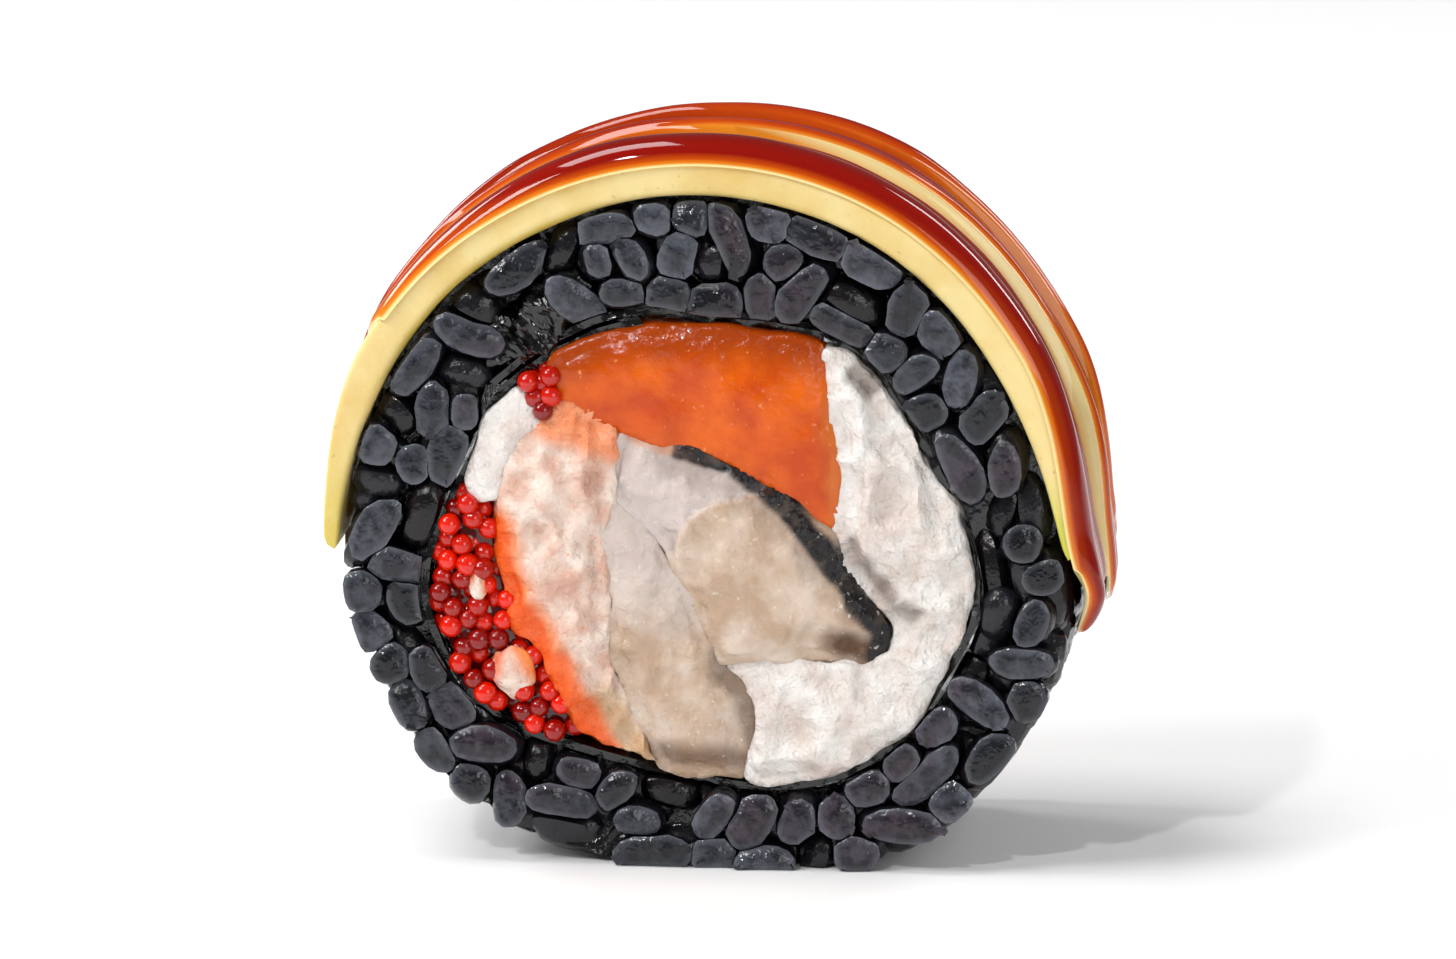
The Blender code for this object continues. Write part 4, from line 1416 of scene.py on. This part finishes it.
@dataclass
class Sauce:
    """The thick sauce over the avocado: it drapes the slices, pools before their edges and is thin on them."""

    avocado: Avocado
    rows: tuple = (-11.9, -11.2, -8.0, -4.6, -1.6, -1.0, 0.4, 3.0, 5.6, 6.2, 8.6, 11.2, 11.9)
    right: tuple = (-5.0, -10.0, -17.0, -14.0, -12.0, -9.0, -13.0, -16.0, -13.0, -7.0, -6.0, -12.0, -6.0)
    left: tuple = (147.0, 150.0, 154.0, 156.0, 157.0, 164.0, 179.0, 175.0, 168.0, 160.0, 154.0, 160.0, 154.0)
    thickness: float = 0.85
    front_extra: float = 0.75
    front_depth: float = 10.5
    front_run: float = 4.0
    thin_shares: tuple = (0.98, 0.65)
    thin_run: float = 0.6
    pool: float = 0.3
    levelling: float = 0.3
    least: float = 0.05
    bite: float = 0.12
    reach: float = 12.3
    lip_run: float = 2.2
    corner: float = 0.45
    thin_left: float = 0.7
    thin_right: float = 0.28
    angles: tuple = (-40, 210, 251)
    depths: tuple = (-13, 13, 261)
    depth_step: float = 0.1

    def softened(self, row: Points, width: float, steps: int) -> Points:
        """Returns a row of values at the depths, smoothed over a width in millimetres, a number of steps each way."""
        kernel = np.exp(-((np.arange(-steps, steps + 1) * self.depth_step) ** 2) / (2 * width**2))
        return np.convolve(np.pad(row, steps, mode="edge"), kernel / kernel.sum(), mode="valid")

    def limit(self, values: Sequence[float], y: Points) -> Points:
        """Returns an edge's angle at each depth, with its corners rounded."""
        table = np.linspace(*self.depths)
        return np.interp(y, table, self.softened(np.interp(table, self.rows, values), self.corner, 20))

    def depth(self, angle: Points, y: Points, lumps: Lumps) -> Points:
        """Returns how thick the sauce lies, in millimetres.

        Args:
            angle: Angles in degrees.
            y: Depths along the roll.
            lumps: The lumps that vary it.

        Returns:
            A thickness for each point.
        """
        p = np.column_stack((angle.ravel() * 0.42, y.ravel(), 0 * y.ravel()))
        varied = 0.22 * lumps.at(p, 9.0, 2) + 0.03 * lumps.at(p + 70.0, 3.0, 2)
        depth = self.thickness * (1 + varied.reshape(angle.shape))
        depth += self.front_extra * np.exp(-(((y + self.front_depth) / self.front_run) ** 2))
        thin_left = self.thin_left * smoothstep(100, 150, angle) * smoothstep(0, -6, y)
        depth *= 1 - thin_left - self.thin_right * smoothstep(75, 20, angle)
        for front, share in zip(self.avocado.fronts[1:], self.thin_shares):
            thin = share - 0.35 * smoothstep(65, 105, angle)
            depth += self.pool * np.exp(-(((y - front + 1.6) / 0.9) ** 2))
            depth *= 1 - thin * np.exp(-(((y - front - 0.15) / self.thin_run) ** 2))
        return depth

    def build(self) -> None:
        """Builds and dresses the sauce."""
        grid_a, grid_y = np.meshgrid(np.linspace(*self.angles), np.linspace(*self.depths), indexing="ij")
        base = self.avocado.upper(grid_a, np.clip(grid_y, -HALF, HALF))
        level = np.array([self.softened(row, self.levelling, 30) for row in base])
        thick = self.depth(grid_a, grid_y, Lumps(9))

        def read(table: Points, angle: Points, y: Points) -> Points:
            """A table's values between its rows and columns."""
            i = np.clip(angle - self.angles[0], 0, self.angles[2] - 1.001)
            j = np.clip((y - self.depths[0]) / self.depth_step, 0, self.depths[2] - 1.001)
            i0, j0 = i.astype(int), j.astype(int)
            s, t = i - i0, j - j0
            low = table[i0, j0] * (1 - t) + table[i0, j0 + 1] * t
            high = table[i0 + 1, j0] * (1 - t) + table[i0 + 1, j0 + 1] * t
            return low * (1 - s) + high * s

        def place(u: Points, v: Points) -> tuple[Points, Points, Points, Points]:
            """The angles, depths, heights over the rice, and how thick the sauce looks from there."""
            over = v <= 0.5
            t = np.where(over, v * 2, 2 - v * 2)
            y = self.reach * (0.6 * (2 * t - 1) + 0.4 * np.sin((t - 0.5) * math.pi))
            right, left = self.limit(self.right, y), self.limit(self.left, y)
            angle = right + (left - right) * (0.7 * u + 0.3 * (0.5 - 0.5 * np.cos(math.pi * u)))
            bead = bulge(np.minimum(angle - right, left - angle) * 0.43, 1.5)
            lay = read(thick, angle, y) * bead
            drop = self.avocado.brow_drop + self.bite
            flat = np.maximum(read(level, angle, y) + lay, read(base, angle, y) + self.least)
            lip = bulge(y + self.reach, self.lip_run) * bulge(self.reach - y, self.lip_run)
            height = flat - (lay + drop) * (1 - lip)
            under = read(base, angle, y) - self.avocado.brow(y) - self.bite - 0.8 * smoothstep(11.2, 12.2, y)
            height = np.where(over, np.maximum(height, under), under)
            # The avocado lies this far behind a point of the lip, and this far under it
            rise = np.clip(1 + (height - read(base, angle, y)) / self.avocado.brow_drop, 0, 1)
            behind = self.avocado.brow_run * (1 - np.sqrt(1 - rise**2)) - HALF - y
            behind = np.where(rise < 1, np.maximum(behind, 0.0), 9.0)
            beneath = np.maximum(height - under - self.bite, 0.0) + 1e-3
            shown = np.minimum(lay, 1 / np.hypot(1 / beneath, 1 / (behind + 1e-3)))
            return angle, y, height, np.where(y < -10, shown, lay)

        def surface(u: Points, v: Points) -> Points:
            """The glaze, across the roll by u, and over and back under by v."""
            angle, y, height, _ = place(u, v)
            return polar(angle, rice_outside(angle) + GAP + height, y)

        obj = tube("sauce_glaze", 320, 260, surface, {"thick": lambda u, v: place(u, v)[3]})
        smooth_shaded(obj, 70.0)
        dressed(obj, Slot.SAUCE, [SweetGlaze().made()], "sauce")


class Curves:
    """Lines of the middle plane that the fillings' colours and reliefs follow, in millimetres round the axis."""

    skin = ((-1.8, 4.9), (2.0, 4.2), (5.8, 1.9), (8.8, -1.1), (11.1, -3.8), (13.3, -6.4), (13.0, -8.3))
    flake = ((-1.9, -3.8), (-1.5, -1.4), (-0.6, 0.4), (1.2, 1.8), (3.4, 2.6))
    belly = ((10.2, -7.4), (12.4, -7.9))
    lobe_right = ((2.2, -9.3), (4.2, -11.6), (4.6, -14.8))
    lobe_foot = ((-2.0, -15.9), (4.4, -16.2))
    membrane = ((-14.2, -1.5), (-13.2, -5.7), (-10.5, -10.2), (-8.6, -13.2), (-7.1, -16.7))
    membrane_low = ((-9.6, -10.6), (-7.8, -13.4), (-6.2, -16.4))
    shrimp_foot = ((-6.0, -13.0), (-3.4, -16.5))
    shrimp_head = ((-9.5, 6.8), (-5.5, 6.0), (-2.4, 5.2))
    frill = ((-6.4, 6.9), (-3.4, 6.0), (0.0, 5.3))
    salmon_top = ((-10.6, 10.6), (-6.0, 13.0), (2.0, 13.6), (8.0, 13.0))
    cream_hole = ((10.2, 10.9), (11.4, 10.2))
    salmon_right = ((8.6, 13.2), (8.6, 8.0), (9.4, 3.0), (9.6, 0.0))
    cream_skin = ((10.6, -0.8), (13.6, -4.6), (15.0, -5.4))


def distance_to(line: Line, x: Points, z: Points) -> Points:
    """Distance of points from a line of the middle plane, in millimetres."""
    return np.abs(side_of(line, x, z))


def side_of(line: Line, x: Points, z: Points) -> Points:
    """Distance of points from a line, positive on its left, in millimetres.

    Args:
        line: The line's points.
        x: Places to the right.
        z: Places upwards.

    Returns:
        The distances.
    """
    best = np.full(len(x), 1e9)
    for (ax, az), (bx, bz) in zip(line, line[1:]):
        dx, dz = bx - ax, bz - az
        t = np.clip(((x - ax) * dx + (z - az) * dz) / (dx * dx + dz * dz), 0, 1)
        far = np.hypot(x - ax - t * dx, z - az - t * dz)
        far = np.where(dx * (z - az) - dz * (x - ax) < 0, -far, far)
        best = np.where(np.abs(far) < np.abs(best), far, best)
    return best


def near(line: Line, low: float, high: float, most: float = 1.0) -> Rule:
    """A rule that has its most near a line and falls to 0 between two distances."""
    return lambda x, z: most * (1 - smoothstep(low, high, distance_to(line, x, z)))


def either(first: Rule, second: Rule) -> Rule:
    """A rule that is the larger one of two."""
    return lambda x, z: np.maximum(first(x, z), second(x, z))


def left_of(line: Line, soft: float) -> Rule:
    """A rule that is 1 on the left of a line and 0 on its right, over a soft width."""
    return lambda x, z: smoothstep(-soft, soft, side_of(line, x, z))


def nowhere(x: Points, z: Points) -> Points:
    """A rule that is 0 everywhere."""
    return 0 * x


@dataclass
class Filling:
    """A filling that runs through the roll, made finer from its solid, plump, with ragged edges."""

    node: str
    slot: Slot
    finish: Moist
    voxel: float = 0.27
    smoothing: int = 12
    inflate: float = 0.42
    ragged: float = 0.3
    plump: float = 0.45
    plump_run: float = 1.6
    lump_size: float = 3.0
    lump_height: float = 0.3
    ridge_size: float = 2.0
    ridge_height: float = 0.0
    waver: float = 0.35
    waver_size: float = 1.8
    face_slopes: tuple = (0.35, 0.8)
    wall_slope: float = 0.3
    wall_depth: float = 10.5
    reach: float = 12.38
    steps: Sequence[tuple[Rule, float]] = ()
    marks: dict[str, Rule] = field(default_factory=dict)
    seed: int = 1

    def build(self) -> None:
        """Builds and dresses the filling."""
        obj = copied(self.node + "_filling", self.node, self.voxel, self.smoothing)
        p, n = points_of(obj), normals_of(obj)
        lumps = Lumps(self.seed)
        x, z = turned(p[:, 0], p[:, 2], p[:, 1], -1.0)
        x = x + self.waver * lumps.at(p + 51.0, self.waver_size, 3)
        z = z + self.waver * lumps.at(p + 87.0, self.waver_size, 3)
        face = smoothstep(*self.face_slopes, np.abs(n[:, 1]))
        height = self.lump_height * lumps.at(p, self.lump_size, 4)
        height += self.ridge_height * (lumps.ridges(p + 31.0, self.ridge_size, 4) - 0.5)
        height += self.plump * (bulge(self.edge_distance(p, face) + 0.1, self.plump_run) - 0.8)
        for rule, rise in self.steps:
            height += rise * rule(x, z)
        sides = self.inflate + self.ragged * (lumps.at(p + 7.0, 2.2, 3) + lumps.at(p + 13.0, 6.0, 2))
        p += n * (sides * (1 - face) + height * face)[:, None]
        p[:, 1] = np.clip(p[:, 1], -self.reach, self.reach)
        move_points(obj, (p + AXIS) * MM)
        applied(obj, "SMOOTH", factor=0.5, iterations=2)
        for name, _ in self.finish.patches:
            mark(obj, name, self.marks.get(name, nowhere)(x, z))
        smooth_shaded(obj, 70.0)
        dressed(obj, self.slot, [self.finish.made()], self.node)

    def edge_distance(self, p: Points, face: Points) -> Points:
        """Returns how far each point of the cut faces is from the filling's side walls, in millimetres.

        Args:
            p: The filling's points.
            face: How far each looks out of a cut face, from 0 to 1.

        Returns:
            The distances.
        """
        walls = np.flatnonzero((face < self.wall_slope) & (np.abs(p[:, 1]) > self.wall_depth))
        tree = kdtree.KDTree(len(walls))
        for index in walls:
            tree.insert(p[index], int(index))
        tree.balance()
        distance = np.zeros(len(p))
        for index in np.flatnonzero(face > 0):
            distance[index] = tree.find(p[index])[2]
        return distance


@dataclass
class Roe:
    """Flying fish roe: glossy eggs packed over a core painted in darker red as shade between them, with scraps of
    shrimp among them.
    """

    node: str
    radius: float = 0.8
    spacing: float = 1.38
    tries: int = 4000
    sinks: tuple = (0.75, 2.6)
    sizes: tuple = (0.9, 1.08)
    core_recess: float = 0.7
    scraps: tuple = ()
    seed: int = 5

    def build(self) -> None:
        """Builds and dresses the core, the eggs and the scraps."""
        core = copied(self.node + "_core", self.node, 0.35, 4)
        p, n = points_of(core), normals_of(core)
        mark(core, "tone", np.full(len(p), 0.0))
        inner = p.copy()
        inner[:, 1] -= np.sign(p[:, 1]) * self.core_recess * smoothstep(10.0, 11.5, np.abs(p[:, 1]))
        move_points(core, (inner + AXIS) * MM)
        smooth_shaded(core, 70.0)
        # Painted shade: the core is a darker red than the eggs, for the gaps between them
        dressed(core, Slot.ROE, [RoeEgg("#5a0200", "#7a0300").made()], self.node)
        self.eggs(p, n)
        for number, scrap in enumerate(self.scraps):
            self.scrap(number, *scrap)

    def eggs(self, p: Points, n: Points) -> None:
        """Builds and dresses the eggs over the two cut faces of the core.

        Args:
            p: Points of the core.
            n: Its normals.
        """
        shape = primitive("egg_shape", "ico_sphere", subdivisions=2, radius=1.0)
        rng = np.random.default_rng(self.seed)
        objs = []
        for side in (-1, 1):
            faces = p[(n[:, 1] * side > 0.6) & (p[:, 1] * side > 10.0)]
            spots = faces[rng.integers(len(faces), size=self.tries)]
            spots[:, 1] = side * (HALF - self.radius * rng.uniform(*self.sinks, self.tries))
            kept = np.empty((0, 3))
            for spot in spots:
                if not len(kept) or np.linalg.norm(kept - spot, axis=1).min() > self.radius * self.spacing:
                    kept = np.vstack((kept, spot))
            for spot in kept:
                mesh = shape.data.copy()
                size = self.radius * rng.uniform(*self.sizes)
                mesh.transform(Matrix.Translation(Vector(spot + AXIS) * MM) @ Matrix.Scale(size * MM, 4))
                tone = mesh.attributes.new("tone", "FLOAT", "POINT")
                tone.data.foreach_set("value", np.full(len(mesh.vertices), rng.random(), np.float32))
                objs.append(linked("egg", mesh))
        bpy.data.objects.remove(shape)
        eggs = joined(self.node + "_eggs", objs)
        smooth_shaded(eggs, 80.0)
        dressed(eggs, Slot.ROE, [RoeEgg().made()], self.node)

    def scrap(self, number: int, spot: Points, size: Points, turn: float) -> None:
        """Builds and dresses a scrap of shrimp.

        Args:
            number: Its number.
            spot: Its middle, in millimetres round the roll's axis.
            size: Its half sizes along its own axes.
            turn: How far it is turned in the cut face, in degrees.
        """
        obj = primitive(f"{self.node}_shrimp_scrap_{number + 1}", "ico_sphere", subdivisions=5, radius=1.0)
        p = coordinates(obj.data)
        lumps = Lumps(90 + number)
        p *= 1 + 0.45 * lumps.at(p + 3.0, 1.1, 3)[:, None]
        mark(obj, "orange", smoothstep(0.2, 0.8, p[:, 2] - 0.6 * p[:, 0]) * 0.7)
        mark(obj, "tan", 0 * p[:, 0])
        mark(obj, "blush", smoothstep(0.1, 0.7, p[:, 0] * 0.8))
        p = p * size
        a = math.radians(turn)
        x, z = p[:, 0] * math.cos(a) - p[:, 2] * math.sin(a), p[:, 0] * math.sin(a) + p[:, 2] * math.cos(a)
        move_points(obj, in_row(x + spot[0], p[:, 1] + spot[1], z + spot[2]))
        smooth_shaded(obj, 80.0)
        dressed(obj, Slot.SHRIMP, [SHRIMP.made()], self.node)


@dataclass
class Studio:
    """A white table, soft light and the camera of the photo's viewing angle."""

    azimuth: float = 7.0
    elevation: float = 10.8
    distance: float = 625.0
    lens: float = 222.0
    world: float = 0.2
    middle: Vector = field(default_factory=lambda: Vector((0.0, 0.0, 0.025)))
    lights: tuple = (
        ("key", (-0.7, -0.45, 0.72), 0.3, 0.3, 5.2),
        ("back", (-0.65, 0.45, 0.4), 0.3, 0.3, 2.6),
        ("top", (-0.35, -0.05, 0.9), 0.35, 0.35, 4.5),
        ("spark", (-0.3, -0.75, 0.75), 0.045, 0.045, 2.8),
        ("strip", (0.5, 0.45, 0.5), 0.12, 0.5, 2.4),
        ("fill", (0.5, -0.7, 0.3), 0.4, 0.4, 1.8),
    )

    def build(self) -> None:
        """Builds the floor, the lights, the world and the camera."""
        floor = primitive("table", "plane", size=6.0)
        floor.data.materials.append(WhiteTable().made())
        world = bpy.context.scene.world = bpy.data.worlds.new("studio")
        world.use_nodes = True
        background = world.node_tree.nodes["Background"].inputs
        background["Color"].default_value = (1.0, 1.0, 1.0, 1.0)
        background["Strength"].default_value = self.world
        for light in self.lights:
            self.light(*light)
        self.camera()
        bpy.context.scene.view_settings.view_transform = "Standard"

    def light(self, name: str, spot: tuple[float, float, float], wide: float, high: float, power: float) -> None:
        """Adds a soft light that faces the piece.

        Args:
            name: Its name.
            spot: Its place in metres.
            wide: Its width in metres.
            high: Its height in metres.
            power: Its power in watts.
        """
        lamp = bpy.data.lights.new(name, "AREA")
        lamp.shape, lamp.size, lamp.size_y, lamp.energy = "RECTANGLE", wide, high, power
        obj = linked(name, lamp)
        obj.location = spot
        obj.rotation_euler = (Vector(spot) - self.middle).to_track_quat("Z", "Y").to_euler()

    def camera(self) -> None:
        """Adds the camera."""
        a, e = math.radians(self.azimuth), math.radians(self.elevation)
        back = Vector((math.sin(a) * math.cos(e), -math.cos(a) * math.cos(e), math.sin(e)))
        cam = bpy.data.cameras.new("camera")
        cam.lens = self.lens
        cam.clip_start = 0.01
        obj = linked("camera", cam)
        obj.location = self.middle + back * self.distance * MM
        obj.rotation_euler = back.to_track_quat("Z", "Y").to_euler()
        bpy.context.scene.camera = obj


def fillings() -> list[Filling]:
    """Returns the fillings that are one solid each."""
    c = Curves
    # Painted sheen: paler orange along the salmon's right edge
    salmon = {"edge": near(c.salmon_top, 0.2, 3.2), "pale": near(c.salmon_right, 0.0, 0.9)}
    skin_ends = (-2, 4, 11), (0.1, 0.35, 0.8)
    upper = {
        "skin": lambda x, z: smoothstep(0.45, 0.0, distance_to(c.skin, x, z) - np.interp(x, *skin_ends)),
        # Painted shade: brown by the belly and along the skin
        "brown": either(near(c.belly, 0.3, 1.9), near(c.skin, 1.0, 2.6, 0.3)),
        "white": left_of(c.flake, 0.3),
        "blush": near(c.frill, 0.3, 1.3, 0.75),
    }
    lower = {
        # Painted shade: brown in the creases at the lobe's right and foot
        "brown": either(near(c.lobe_right, 0.1, 1.7, 0.75), near(c.lobe_foot, 0.0, 1.6, 0.75)),
        "white": lambda x, z: 0.8 * smoothstep(-9.0, -4.0, z),
    }
    shrimp = {
        "orange": either(near(c.membrane, 0.9, 1.6), near(c.membrane_low, 0.7, 1.7, 0.8)),
        "tan": near(c.shrimp_foot, 0.5, 2.2, 0.8),
        "blush": either(near(c.shrimp_head, 1.4, 3.0, 0.8), near(c.membrane, 1.4, 2.6, 0.8)),
    }
    # Painted shade in the cream cheese's hollow and along its sunken seam
    hollow_shade = {"hollow_shade": either(near(c.cream_hole, 0.3, 1.0, 0.75), near(c.cream_skin, 0.1, 1.1, 0.75))}
    return [
        Filling("salmon", Slot.SALMON, SALMON, plump=0.3, marks=salmon, seed=21),
        Filling(
            "fish_upper", Slot.FISH, FISH, voxel=0.22, smoothing=18, ragged=0.4, plump=0.5,
            ridge_height=0.9, ridge_size=2.6,
            steps=((left_of(c.flake, 0.12), -0.5), (near(c.skin, 0.5, 1.0), 0.2)), marks=upper, seed=22,
        ),
        Filling(
            "fish_lower", Slot.FISH, FISH, ragged=0.5, plump=0.9, plump_run=2.4,
            ridge_height=0.9, ridge_size=2.6, marks=lower, seed=23,
        ),
        Filling(
            "shrimp", Slot.SHRIMP, SHRIMP, ragged=0.9, ridge_height=1.7, ridge_size=2.0,
            steps=((near(c.membrane, 0.3, 1.2), 0.3),), marks=shrimp, seed=24,
        ),
        Filling(
            "cream_cheese", Slot.CREAM, CHEESE, ragged=0.6, ridge_height=1.9, ridge_size=3.4,
            steps=((near(c.cream_hole, 0.2, 0.9), -0.9), (near(c.cream_skin, 0.2, 1.1), -0.5)),
            marks=hollow_shade, seed=25,
        ),
        Filling(
            "cream_cheese_left", Slot.CREAM, CHEESE, ragged=0.4, ridge_height=0.9, ridge_size=2.4, seed=26,
        ),
    ]  # fmt: skip


def main() -> None:
    """Builds the piece and reports each of its parts."""
    logging.basicConfig(level=logging.INFO, format="%(message)s")
    Studio().build()
    BlackRice().build()
    Nori().build()
    avocado = Avocado()
    avocado.build()
    Sauce(avocado).build()
    for filling in fillings():
        filling.build()
    scraps = (((-12.8, -11.3, -10.6), (1.5, 0.9, 2.0), 35.0), ((-15.2, -11.4, -4.4), (0.6, 0.6, 1.1), 5.0))
    Roe("roe", scraps=scraps).build()
    Roe("roe_upper", seed=6).build()


if __name__ == "__main__":
    main()
